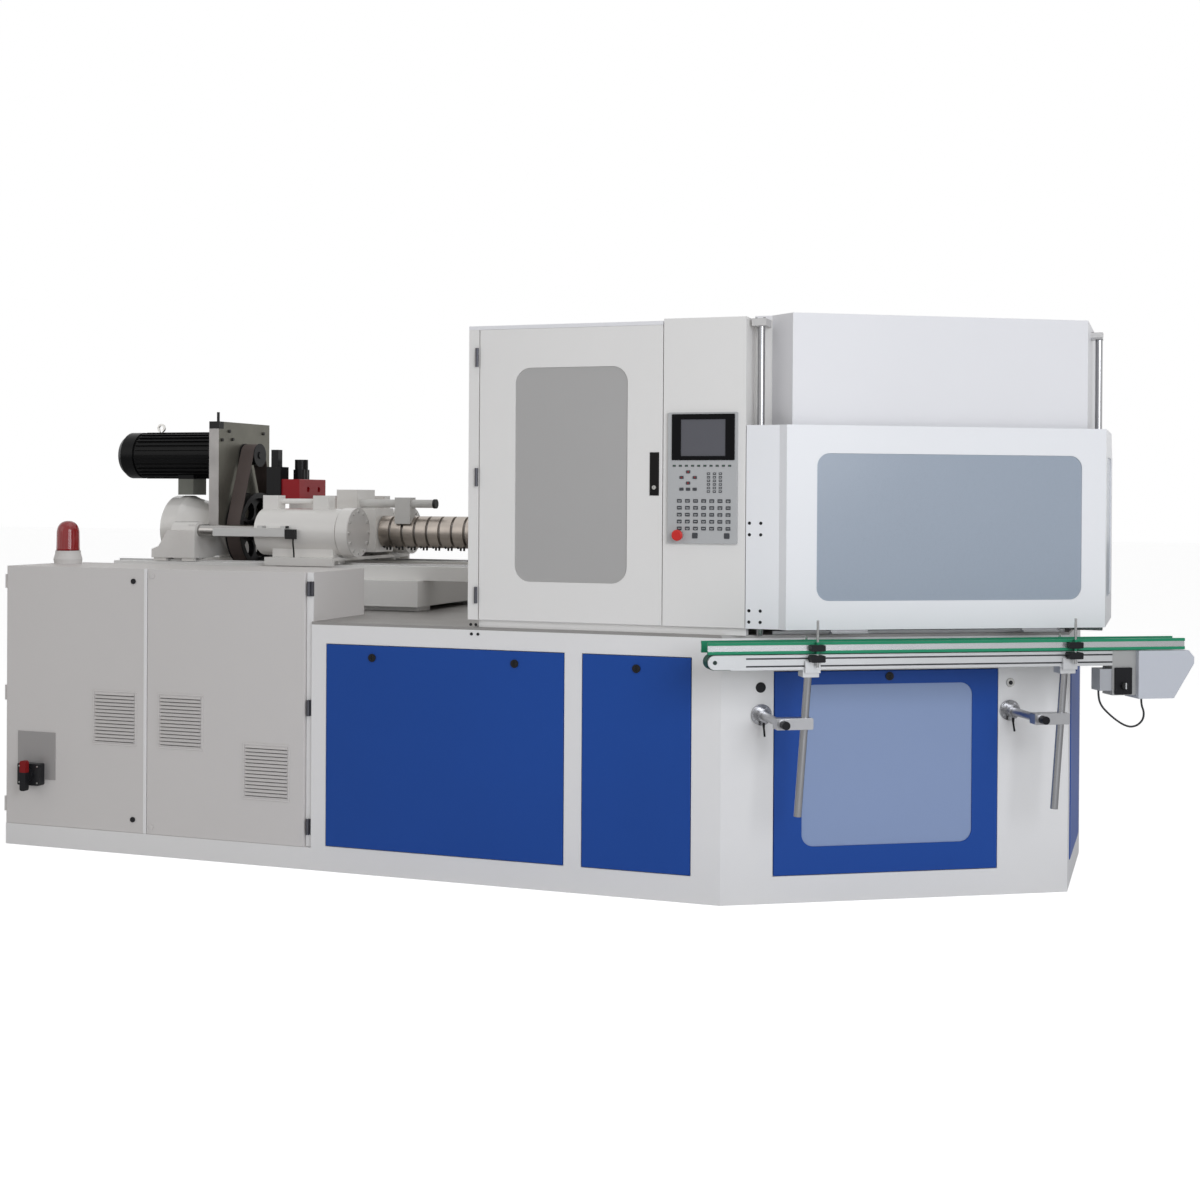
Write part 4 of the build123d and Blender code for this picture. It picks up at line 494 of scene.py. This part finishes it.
def arrow_marks(shape):
    """Four triangles on the arrow keys, each pointing its own way."""
    for x, z, way in ((-0.350, 1.680, (-1, 0, 0)), (-0.296, 1.680, (1, 0, 0)),
                      (-0.323, 1.702, (0, 0, 1)), (-0.323, 1.658, (0, 0, -1))):
        disc(shape, facing((x, key_plane, z), front_out, way), 0.0045, print_depth,
             segments=3)


def key_lamps(shape):
    """Small lamps beside the row of keys under the screen."""
    for column in range(10):
        at = (-0.380 + column * 0.025, key_plane, 1.726)
        disc(shape, facing(at, front_out, front_across), 0.0016, 0.0006, 0.0010, 12)


shaped("pale_key_middles", pale_key_middles, key_print, "machine")
shaped("arrow_marks", arrow_marks, arrow_red, "machine")
shaped("key_lamps", key_lamps, lamp_green, "machine")


def screen_fields(shape):
    """Plain fields on the dark screen: a header, a body and a row of soft keys."""
    glass_plane = key_plane + 0.0029
    for x, z, width, height in ((-0.2625, 1.897, 0.170, 0.010), (-0.3095, 1.838, 0.074, 0.092),
                                (-0.2155, 1.838, 0.074, 0.092), (-0.2625, 1.777, 0.170, 0.012)):
        tile(shape, facing((x, glass_plane, z), front_out, front_across),
             width, height, print_depth, 0)


screen_pale = finish(
    "screen_field", (0.15, 0.15, 0.165), 0.15, drift=0.1, drift_size=0.1, specular=0.1,
)
shaped("screen_fields", screen_fields, screen_pale, "machine")

# Emergency stop: a glossy red moulded mushroom on a black stem, with a fine ring
# where head and stem meet.
stop_coat = finish(
    "stop_coat", (0.62, 0.018, 0.014), 0.28, drift=0.05, drift_size=0.02, coat=0.4,
    zones=(({"y": (-1.1815, -1.1)}, (0.02, 0.02, 0.02), 0.4, 0.0),),
)
dress(stop_coat, "emergency_stop")

# Sliding guard: one folded shell in the white coat, painted lighter and bluer than the rest as
# painted light, with pull handles of bent grey sheet under it. Dark screws in its wing hold the
# slide bearings behind.
lit_guard_coat = finish(
    "lit_guard_coat", (0.91, 0.915, 0.935), 0.38, drift=0.015, coat=0.15,
    zones=(({"z": (1.0, 1.0918)}, (0.33, 0.33, 0.34), 0.4, 0.6),),
)
dress(lit_guard_coat, "guard_shell")
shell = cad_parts["guard_shell"]
shell_points = [shell.matrix_world @ v.co for v in shell.data.vertices]
wing_front = min(point.y for point in shell_points if point.x < 0)
wing_spots = [(x, z) for x in (-0.078, -0.033) for z in (1.503, 1.458, 1.162, 1.118)]
wing_head = 0.0012
dark_screw = finish("dark_screw", (0.03, 0.03, 0.032), 0.4, metal=0.7, grain=0.0008)


def wing_screws(shape):
    """Socket screws that hold the slide bearings, four to a block."""
    for x, z in wing_spots:
        disc(shape, facing((x, wing_front, z), front_out, front_across),
             0.0065, wing_head, 0.0058)


def socket_shades(shape):
    """Painted shade: dark six-sided marks for the sockets in the heads of the wing's screws."""
    for x, z in wing_spots:
        disc(shape, facing((x, wing_front - wing_head, z), front_out, front_across),
             0.003, 0.0002, segments=6)


shaped("wing_screws", wing_screws, dark_screw, "sliding_guard")
shaped("socket_shades", socket_shades, handle_coat, "sliding_guard")

# Guide rods: ground and polished steel bars, held at the top in plain blocks. Two
# dark socket screws hold each block on the machine.
rod_polish = finish(
    "rod_polish", (0.37, 0.37, 0.38), 0.14, metal=1.0, drift=0.04, drift_size=0.1,
    grain=0.0008, grain_stretch=(1, 1, 0.02), rough_spread=0.05, relief=0.00001,
    zones=(({"z": (2.2735, 2.31)}, (0.62, 0.61, 0.60), 0.45, 0.2),),
)
dress(rod_polish, "guide_rods")


def bracket_screws(shape):
    """Two socket screws on top of each rod's bracket."""
    for x, y, z in ((-0.068, -1.098, 2.304), (-0.036, -1.098, 2.304),
                    (1.157, -0.268, 2.294), (1.157, -0.232, 2.294)):
        disc(shape, facing((x, y, z), (0, 0, 1), (1, 0, 0)), 0.005, 0.003, 0.0045, 16)


shaped("bracket_screws", bracket_screws, dark_screw, "machine")

# Rail beams: box beams in the white coat, with a bare ground rail along the top
# where the injection unit slides.
beam_coat = finish(
    "beam_coat", (0.86, 0.85, 0.83), 0.4, drift=0.03, coat=0.1,
    zones=(({"z": (1.2704, 1.3), "x": (-4, -1.2)}, (0.50, 0.50, 0.50), 0.25, 1.0),),
)
dress(beam_coat, "rail_beams")

# White castings: saddle, cylinders, feed throat and bearing housing. Cast iron filled
# and painted in thick gloss, so the sand's waves still show under the paint. The
# cylinder covers are turned faces in thinner paint, and the piston rods are chrome.
cast_white, cover_grey = (0.82, 0.80, 0.77), (0.64, 0.62, 0.60)
rod_chrome = (0.33, 0.32, 0.31)


def casting(name, zones=()):
    """Thick gloss paint over the slow waves of a sand casting."""
    return finish(
        name, cast_white, 0.20, drift=0.03, drift_size=0.2, grain=0.025, relief=0.0006,
        rough_spread=0.05, coat=0.6, zones=zones, edge=0.003,
    )


dress(casting("cast_paint"), "carriage", "feed_throat")
dress(casting("cylinder_paint", (
    ({"x": (-2.2155, -2.2), "y": (-0.6, 0.6)}, cover_grey, 0.35, 0.1),
    ({"x": (-2.2098, -2.2)}, (0.62, 0.61, 0.59), 0.3, 0.5),
)), "injection_cylinders")
dress(casting("housing_paint", (
    ({"x": (-3.0829, -2.4), "y": (-0.34, -0.26)}, rod_chrome, 0.16, 1.0),
    ({"x": (-3.0829, -2.4), "y": (0.26, 0.34)}, rod_chrome, 0.16, 1.0),
)), "thrust_housing")

# Motor plate: thick flame-cut steel, ground and oiled to a grey olive. Its front edge face is
# painted lighter than the rest.
plate_olive = finish(
    "plate_olive", (0.20, 0.195, 0.165), 0.42, metal=0.75, drift=0.25, drift_size=0.12,
    grain=0.003, grain_stretch=(1, 1, 0.1), relief=0.00008,
    # the front edge face, painted lighter
    zones=(({"y": (-0.2453, -0.2447), "z": (1.4, 1.93)}, (0.40, 0.385, 0.375), 0.4, 0.6),
           ({"y": (-0.2453, -0.2), "z": (1.93, 2.1), "x": (-3.1, -3.0)},
            (0.02, 0.02, 0.02), 0.4, 0.3),
           ({"x": (-3.0118, -2.9)}, (0.06, 0.058, 0.055), 0.4, 0.8)),
)
dress(plate_olive, "motor_plate")

# Drive motor: cast aluminium body with cooling fins in gloss black, a pressed fan
# cover with raised rings, a bright lifting eye and a grey terminal box below.
motor_black = finish(
    "motor_black", (0.005, 0.005, 0.0055), 0.3, drift=0.15, drift_size=0.1, grain=0.004,
    relief=0.00008, specular=0.12,
    zones=(({"z": (1.924, 2.0)}, (0.60, 0.59, 0.57), 0.25, 1.0),
           ({"z": (1.5, 1.681)}, (0.20, 0.205, 0.18), 0.45, 0.0)),
)
dress(motor_black, "drive_motor")
fan_end = Vector((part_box("drive_motor")[0].x, 0, 1.803))


def fan_grille(shape):
    """Raised rings of the pressed fan cover, over its end."""
    pressed = ((-0.0018, 0.0016), (-0.0012, 0.0001), (0.0012, 0.0001), (0.0018, 0.0016))
    for radius in (0.014, 0.028, 0.042, 0.056):
        knots = [
            shape.verts.new(fan_end + Vector((inward, radius + across, 0)))
            for across, inward in pressed
        ]
        lines = [shape.edges.new(pair) for pair in zip(knots, knots[1:])]
        bmesh.ops.spin(
            shape, geom=knots + lines, cent=fan_end, axis=(1, 0, 0), angle=2 * pi, steps=48,
            use_merge=True,
        )


shaped("fan_grille", fan_grille, motor_black, "drive_head")

# Belt and pulleys: a flat polyamide belt, brown and dull, on pulleys of cast iron
# painted black. Their rims are worn bright where the belt runs.
belt_coat = finish(
    "belt_coat", (0.105, 0.082, 0.076), 0.6, drift=0.12, drift_size=0.1, grain=0.0012,
    relief=0.0001, grain_stretch=(4, 1, 1),
)
dress(belt_coat, "drive_belt")
pulley_black = finish(
    "pulley_black", (0.008, 0.008, 0.009), 0.32, drift=0.1, drift_size=0.08, grain=0.003,
    relief=0.00006, specular=0.2,
)
dress(pulley_black, "screw_pulley", "motor_pulley")

# Screw, barrel and heater bands: hardened tool steel, with bands of rolled stainless
# sheet that the heat has tinted brown. Each band closes with a screw on its lug.
tool_steel = finish(
    "tool_steel", (0.42, 0.42, 0.42), 0.3, metal=1.0, drift=0.06, drift_size=0.1,
    grain=0.001, grain_stretch=(0.05, 1, 1),
)
dress(tool_steel, "screw", "barrel")
band_sheet = finish(
    "band_sheet", (0.42, 0.375, 0.335), 0.34, metal=0.95, drift=0.22, drift_size=0.10,
    grain=0.0014, grain_stretch=(8, 0.3, 0.3), rough_spread=0.12, relief=0.00005,
)
dress(band_sheet, "heater_bands")
axis_z, band_radius = 1.424, 0.078
band_middles = [-2.1895 + 0.066 * band for band in range(13)]
lug_out = (0, -0.35, -0.94)
lead_sleeve = finish("lead_sleeve", (0.030, 0.028, 0.026), 0.5, drift=0.08, drift_size=0.02)


def terminal_blocks(shape):
    """Two dark sleeves under each band, where its leads come in."""
    for x in band_middles:
        for shift in (-0.009, 0.009):
            at = (x + shift, -0.012, axis_z - band_radius + 0.002)
            disc(shape, facing(at, (0, -0.1, -1), (1, 0, 0)), 0.0055, 0.014, 0.0048, 16)


def band_screws(shape):
    """Clamp screws with their lugs, on the operator's side of the split."""
    for x in band_middles:
        for shift in (-0.016, 0.016):
            at = Vector((x + shift, -0.030, axis_z - 0.0735))
            head_at = at + Vector((0, -0.0014, -0.0038))
            tile(shape, facing(at, lug_out, (1, 0, 0)), 0.010, 0.012, 0.004, 0.001)
            disc(shape, facing(head_at, lug_out, (1, 0, 0)), 0.0034, 0.003, 0.0028, 6)


shaped("terminal_blocks", terminal_blocks, lead_sleeve, "injection_carriage")
shaped("band_screws", band_screws, dark_screw, "injection_carriage")

# Position transducer: an anodised extrusion with a magnet sledge and a black moulded
# connector. Its lead is a black jacketed cable that drops over the saddle's lip.
rod_sensor = finish(
    "rod_sensor", (0.50, 0.50, 0.495), 0.35, metal=0.8, drift=0.05, drift_size=0.1,
    grain_stretch=(0.03, 1, 1), grain=0.0008,
    zones=(({"x": (-2.5249, -2.4)}, (0.012, 0.012, 0.013), 0.4, 0.0),),
)
dress(rod_sensor, "position_transducer")
jacket_black = finish(
    "jacket_black", (0.013, 0.013, 0.014), 0.5, drift=0.06, drift_size=0.02, grain=0.002,
    relief=0.00003, edge=0,
)


def free_cord(name, points, radius, material):
    """A cable along a smooth curve that starts and ends at its route's ends."""
    data = bpy.data.curves.new(name, "CURVE")
    data.dimensions = "3D"
    data.resolution_u = 8
    data.bevel_depth = radius
    data.bevel_resolution = 4
    data.use_fill_caps = True
    line = data.splines.new("NURBS")
    line.points.add(len(points) - 1)
    for knot, point in zip(line.points, points):
        knot.co = (*point, 1)
    line.order_u = 3
    line.use_endpoint_u = True
    cable = bpy.data.objects.new(name, data)
    bpy.context.scene.collection.objects.link(cable)
    cable.data.materials.append(material)
    return cable


sensor_route = [
    (-2.488, -0.432, 1.392), (-2.488, -0.432, 1.364),
    (-2.494, -0.412, 1.332), (-2.494, -0.412, 1.304),
]
sensor_lead = free_cord("sensor_lead", sensor_route, 0.004, jacket_black)
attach(sensor_lead, "injection_carriage")
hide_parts("transducer_cable")

# Hydraulics: a red machined manifold on a white stand, with dark port holes, and
# black solenoid valves with sealed coils on it and beside it.
manifold_red = finish(
    "manifold_red", (0.33, 0.008, 0.014), 0.3, drift=0.08, drift_size=0.1, specular=0.25,
    zones=(({"z": (1.4, 1.5807)}, cast_white, 0.3, 0.0),),
)
dress(manifold_red, "hydraulic_manifold")
valve_black = finish(
    "valve_black", (0.008, 0.008, 0.009), 0.3, drift=0.1, drift_size=0.05, grain=0.003,
    relief=0.00006, specular=0.2,
)
dress(valve_black, "hydraulic_valves")

# Heater conduit: a white plastic tube with a black end ring, in a cast bracket. It
# carries the leads of the heater bands.
conduit_coat = finish(
    "conduit_coat", (0.70, 0.69, 0.67), 0.35, drift=0.03,
    zones=(({"x": (-1.9295, -1.9)}, (0.015, 0.015, 0.016), 0.4, 0.0),),
)
dress(conduit_coat, "heater_conduit")

# Inside the enclosure: painted castings for the clamp frames and the table, ground
# steel moulds and platens, a chromed lifting column and polished core rods.
dress(casting("frame_paint", (
    ({"z": (1.3001, 1.4245), "x": (-0.56, -0.2), "y": (-0.3, 0.3)},
     (0.36, 0.36, 0.37), 0.3, 1.0),
)), "press_frames")
dress(casting("table_paint"), "table_head")
mould_steel = finish(
    "mould_steel", (0.38, 0.38, 0.385), 0.28, metal=1.0, drift=0.06, drift_size=0.1, grain=0.001,
)
dress(mould_steel, "injection_platen", "blow_platen", "core_rods")
dress(rod_polish, "table_column")

# Conveyor stand: turned wall flanges with black levers, steel tube arms and posts,
# and cross clamps of cast aluminium. The arm ends are closed with black caps.
tube_steel = finish(
    "tube_steel", (0.36, 0.36, 0.37), 0.2, metal=1.0, drift=0.08, drift_size=0.08,
    grain=0.0009, grain_stretch=(1, 1, 0.05), rough_spread=0.08,
)
dress(tube_steel, "conveyor_posts")
flange_steel = finish(
    "flange_steel", (0.38, 0.38, 0.39), 0.22, metal=1.0, drift=0.08, drift_size=0.06,
    grain=0.001, slanted=True, specular=0.15,
    zones=(({"z": (0.5, 0.7225), "y": (-0.09, -0.015)}, lock_black, 0.4, 0.0),),
)
dress(flange_steel, "wall_flanges")
clamp_coat = finish(
    "clamp_coat", (0.44, 0.44, 0.45), 0.3, metal=0.9, drift=0.06, drift_size=0.05,
    slanted=True, specular=0.15, zones=(({"y": (-0.4, -0.3000)}, lock_black, 0.35, 0.0),),
)
dress(clamp_coat, "support_arms")

# Conveyor frame: extruded aluminium profiles, anodised, that carry black moulded
# clamps for the rail rods. The idler is a dark green roller between them.
groove_shade = (0.07, 0.07, 0.075)
profile_coat = finish(
    "profile_coat", (0.62, 0.625, 0.63), 0.3, metal=0.55, drift=0.04, drift_size=0.1,
    grain=0.0008, slanted=True,
    zones=(({"z": (0.9835, 1.0105), "y": (-0.35, -0.3003), "x": (0.256, 0.316)},
            lock_black, 0.4, 0.0),
           ({"z": (0.9835, 1.0105), "y": (-0.35, -0.3003), "x": (1.300, 1.360)},
            lock_black, 0.4, 0.0),
           ({"z": (0.9835, 1.0105), "y": (-0.2197, -0.18)}, lock_black, 0.4, 0.0),
           # painted shade: the insides of the profile's two grooves are painted dark
           ({"z": (0.9640, 0.9720), "y": (-0.2996, -0.2955)}, groove_shade, 0.5, 0.3),
           ({"z": (0.9930, 1.0010), "y": (-0.2996, -0.2955)}, groove_shade, 0.5, 0.3)),
    specular=0.15,
)
dress(profile_coat, "conveyor_frame")
roller_green = finish("roller_green", (0.018, 0.038, 0.032), 0.4, drift=0.06, grain=0.001)
dress(roller_green, "idler_roller")
band_green = finish(
    "band_green", (0.020, 0.085, 0.058), 0.55, drift=0.08, drift_size=0.1, grain=0.0012,
    relief=0.00006,
)
dress(band_green, "conveyor_belt")

# Guide rails: green moulded strips on aluminium profiles, with the metal bare along
# the middle. Rods of polished steel carry them in black clamps.
bare_strip, rod_steel = (0.60, 0.61, 0.62), (0.52, 0.52, 0.52)
rail_coat = finish(
    "rail_coat", (0.025, 0.27, 0.14), 0.36, drift=0.05, drift_size=0.2, slanted=True,
    specular=0.15,
    zones=(({"z": (1.0268, 1.0492), "y": (-0.3102, -0.309)}, bare_strip, 0.25, 0.9),
           ({"z": (1.0268, 1.0492), "y": (-0.2102, -0.2090)}, bare_strip, 0.25, 0.9),
           ({"z": (1.0605, 1.2)}, rod_steel, 0.2, 1.0),
           ({"z": (0.9, 1.0155)}, rod_steel, 0.2, 1.0),
           ({"z": (1.0255, 1.0505), "y": (-0.345, -0.3143)}, lock_black, 0.4, 0.0),
           ({"z": (1.0255, 1.0505), "y": (-0.2057, -0.18)}, lock_black, 0.4, 0.0)),
)
dress(rail_coat, "guide_rails")

# Drive housing: a white sheet cover, a grey gear box and a black switch box with its
# speed knob. The lead is one grey jacketed cable that hangs in a loop.
housing_coat = finish(
    "housing_coat", (0.58, 0.60, 0.65), 0.4, drift=0.02, slanted=True, specular=0.15,
    zones=(({"x": (1.4, 1.6005), "y": (-0.3002, 0.0)}, (0.40, 0.40, 0.395), 0.4, 0.3),
           ({"x": (1.5, 1.585), "z": (0.83, 0.95), "y": (-0.32, -0.3002)}, lock_black, 0.4, 0.0),
           ({"x": (1.4, 1.4995)}, (0.42, 0.43, 0.455), 0.4, 0.2)),
)
dress(housing_coat, "drive_housing")
knob_coat = finish(
    "knob_coat", (0.02, 0.02, 0.021), 0.35, drift=0.03, slanted=True, specular=0.15,
    zones=(({"y": (-0.34, -0.3245)}, (0.6, 0.6, 0.6), 0.4, 0.0),),
)
dress(knob_coat, "speed_knob")


def on_slant(run, gap, height):
    """A point given by its run along the slanted face, its gap out of it and height."""
    return Vector((
        corner_x + run * cos(slant_turn) + gap * sin(slant_turn),
        -half_width + run * sin(slant_turn) - gap * cos(slant_turn),
        height,
    ))


jacket_grey = finish(
    "jacket_grey", (0.035, 0.036, 0.038), 0.5, drift=0.06, drift_size=0.02, grain=0.002,
    relief=0.00003, edge=0,
)
lead_gap = 0.260
drive_route = [
    on_slant(run / 1000, lead_gap + swing / 1000, height / 1000) for run, swing, height in (
        (1462, 0, 855), (1462, 0, 823), (1474, 4, 790), (1500, 9, 763), (1532, 5, 738),
        (1568, 1, 716), (1602, -4, 705), (1634, -6, 711), (1656, -3, 734), (1658, 0, 765),
        (1644, 2, 794), (1644, 2, 824),
    )
]
drive_lead = free_cord("drive_lead", drive_route, 0.004, jacket_grey)
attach(drive_lead, "conveyor")
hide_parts("drive_cable")

# Slanted face: a black plug over a spare cable hole, a bright key switch and a low
# white lip under the guard. Dark screws hold the enclosure's corner on the base.
slant_out = (sin(slant_turn), -cos(slant_turn), 0)
slant_across = (cos(slant_turn), sin(slant_turn), 0)
switch_run, switch_height, switch_depth = 1.211, 0.859, 0.005


def spare_plug(shape):
    disc(shape, facing(on_slant(0.161, 0, 0.855), slant_out, slant_across),
         0.021, 0.004, 0.018, 32)


def switch_ring(shape):
    at = on_slant(switch_run, 0, switch_height)
    disc(shape, facing(at, slant_out, slant_across), 0.019, switch_depth, 0.016, 32)


def switch_core(shape):
    at = on_slant(switch_run, switch_depth, switch_height)
    disc(shape, facing(at, slant_out, slant_across), 0.009, 0.002, 0.008, 24)


def edge_sill(shape):
    """A low folded lip on the deck, inside the guard's lower edge."""
    tile(shape, facing(on_slant(0.83, -0.010, 1.0622), (0, 0, 1), slant_across),
         1.24, 0.008, 0.014, 0.001)


def corner_screws(shape):
    """Two pairs of dark screws where the enclosure's corner meets the base."""
    for x, step, z in ((-1.2548, 0, 1.033), (-1.2257, 0, 1.033),
                       (-1.2540, 0.010, 1.073), (-1.2310, 0.010, 1.073)):
        disc(shape, facing((x, -half_width - step, z), front_out, front_across),
             0.0065, 0.003, 0.0058, 16)


shaped("edge_sill", edge_sill, white_coat, "machine")
shaped("corner_screws", corner_screws, dark_screw, "machine")
shaped("spare_plug", spare_plug, handle_coat, "machine")
shaped("switch_ring", switch_ring, bright_screw, "machine")
shaped("switch_core", switch_core, dark_screw, "machine")

# Closing strip: folded white sheet screwed inside the end wall. It covers the gap
# between the hood's edge and the rear enclosure, which the guard runs past outside.


def closing_strip(shape):
    tile(shape, facing((1.1295, 0.115, 1.6725), (-1, 0, 0), (0, 1, 0)),
         0.060, 1.213, 0.003, 0.0005)


# the closing strip takes the roof's cooler copy of the white coat, which is painted light
shaped("closing_strip", closing_strip, cool_lit_coat, "machine")

# Floor: plain and pale. It takes the machine's shadow, and shows nearly white to the
# camera.
floor_mesh = bpy.data.meshes.new("floor")
shape = bmesh.new()
bmesh.ops.create_grid(shape, x_segments=1, y_segments=1, size=60)
shape.to_mesh(floor_mesh)
shape.free()
floor = bpy.data.objects.new("floor", floor_mesh)
floor.location.z = -0.001
bpy.context.scene.collection.objects.link(floor)
floor_white = bpy.data.materials.new("floor_white")
floor_white.use_nodes = True
tree = floor_white.node_tree
shader = tree.nodes["Principled BSDF"]
shader.inputs["Base Color"].default_value = (0.93, 0.93, 0.93, 1)
shader.inputs["Roughness"].default_value = 0.9
shader.inputs["Specular IOR Level"].default_value = 0.1
shader.inputs["Emission Color"].default_value = (1, 1, 1, 1)
rays = tree.nodes.new("ShaderNodeLightPath")
floor_glow = tree.nodes.new("ShaderNodeMath")
floor_glow.operation = "MULTIPLY"
floor_glow.inputs[1].default_value = 0.64
tree.links.new(rays.outputs["Is Camera Ray"], floor_glow.inputs[0])
tree.links.new(floor_glow.outputs[0], shader.inputs["Emission Strength"])
floor.data.materials.append(floor_white)

# Surround: white where the camera, a pane or a gloss looks at it, and weaker as light,
# so that the forms keep their shading.
world = bpy.data.worlds.new("surround")
world.use_nodes = True
bpy.context.scene.world = world
tree = world.node_tree
rays = tree.nodes.new("ShaderNodeLightPath")
seen = tree.nodes.new("ShaderNodeMath")
seen.operation = "MAXIMUM"
tree.links.new(rays.outputs["Is Camera Ray"], seen.inputs[0])
tree.links.new(rays.outputs["Is Transmission Ray"], seen.inputs[1])
glossy = tree.nodes.new("ShaderNodeMath")
glossy.operation = "MAXIMUM"
tree.links.new(seen.outputs[0], glossy.inputs[0])
tree.links.new(rays.outputs["Is Glossy Ray"], glossy.inputs[1])
level = tree.nodes.new("ShaderNodeMapRange")
level.inputs["To Min"].default_value = 0.33
level.inputs["To Max"].default_value = 1.0
tree.links.new(glossy.outputs[0], level.inputs["Value"])
tree.nodes["Background"].inputs["Color"].default_value = (1, 1, 1, 1)
tree.links.new(level.outputs[0], tree.nodes["Background"].inputs["Strength"])

# Lights: a large cool key to the right of the operator's side, a weak warm fill from
# the left, and a soft one from above.


def area_light(name, place, target, size, power, colour):
    """A square soft light that points at a target."""
    data = bpy.data.lights.new(name, "AREA")
    data.size = size
    data.energy = power
    data.color = colour
    lamp = bpy.data.objects.new(name, data)
    lamp.location = place
    lamp.rotation_euler = (Vector(target) - Vector(place)).to_track_quat("-Z", "Y").to_euler()
    bpy.context.scene.collection.objects.link(lamp)


area_light("key", (5.0, -7.4, 3.6), (-0.3, -0.7, 1.2), 4.0, 290, (0.92, 0.95, 1.0))
area_light("fill", (-6.5, -6.0, 4.0), (-2.0, -0.5, 1.0), 4.0, 35, (1.0, 0.97, 0.94))
area_light("top", (-1.0, -1.0, 7.0), (-1.0, 0.0, 1.0), 5.0, 60, (1.0, 1.0, 1.0))

# Camera: at the photograph's place and angle, solved from the machine's own edges,
# with the picture shifted a little so that the machine's uprights stay upright.
lens_data = bpy.data.cameras.new("camera")
lens_data.lens = 50.56
lens_data.sensor_width = 36.0
lens_data.shift_y = -0.0783
lens_data.clip_end = 200
camera = bpy.data.objects.new("camera", lens_data)
camera.location = (1.516, -7.536, 1.600)
camera.rotation_euler = (radians(89.703), radians(-0.351), radians(19.089))
bpy.context.scene.collection.objects.link(camera)
bpy.context.scene.camera = camera
bpy.context.scene.view_settings.view_transform = "Standard"
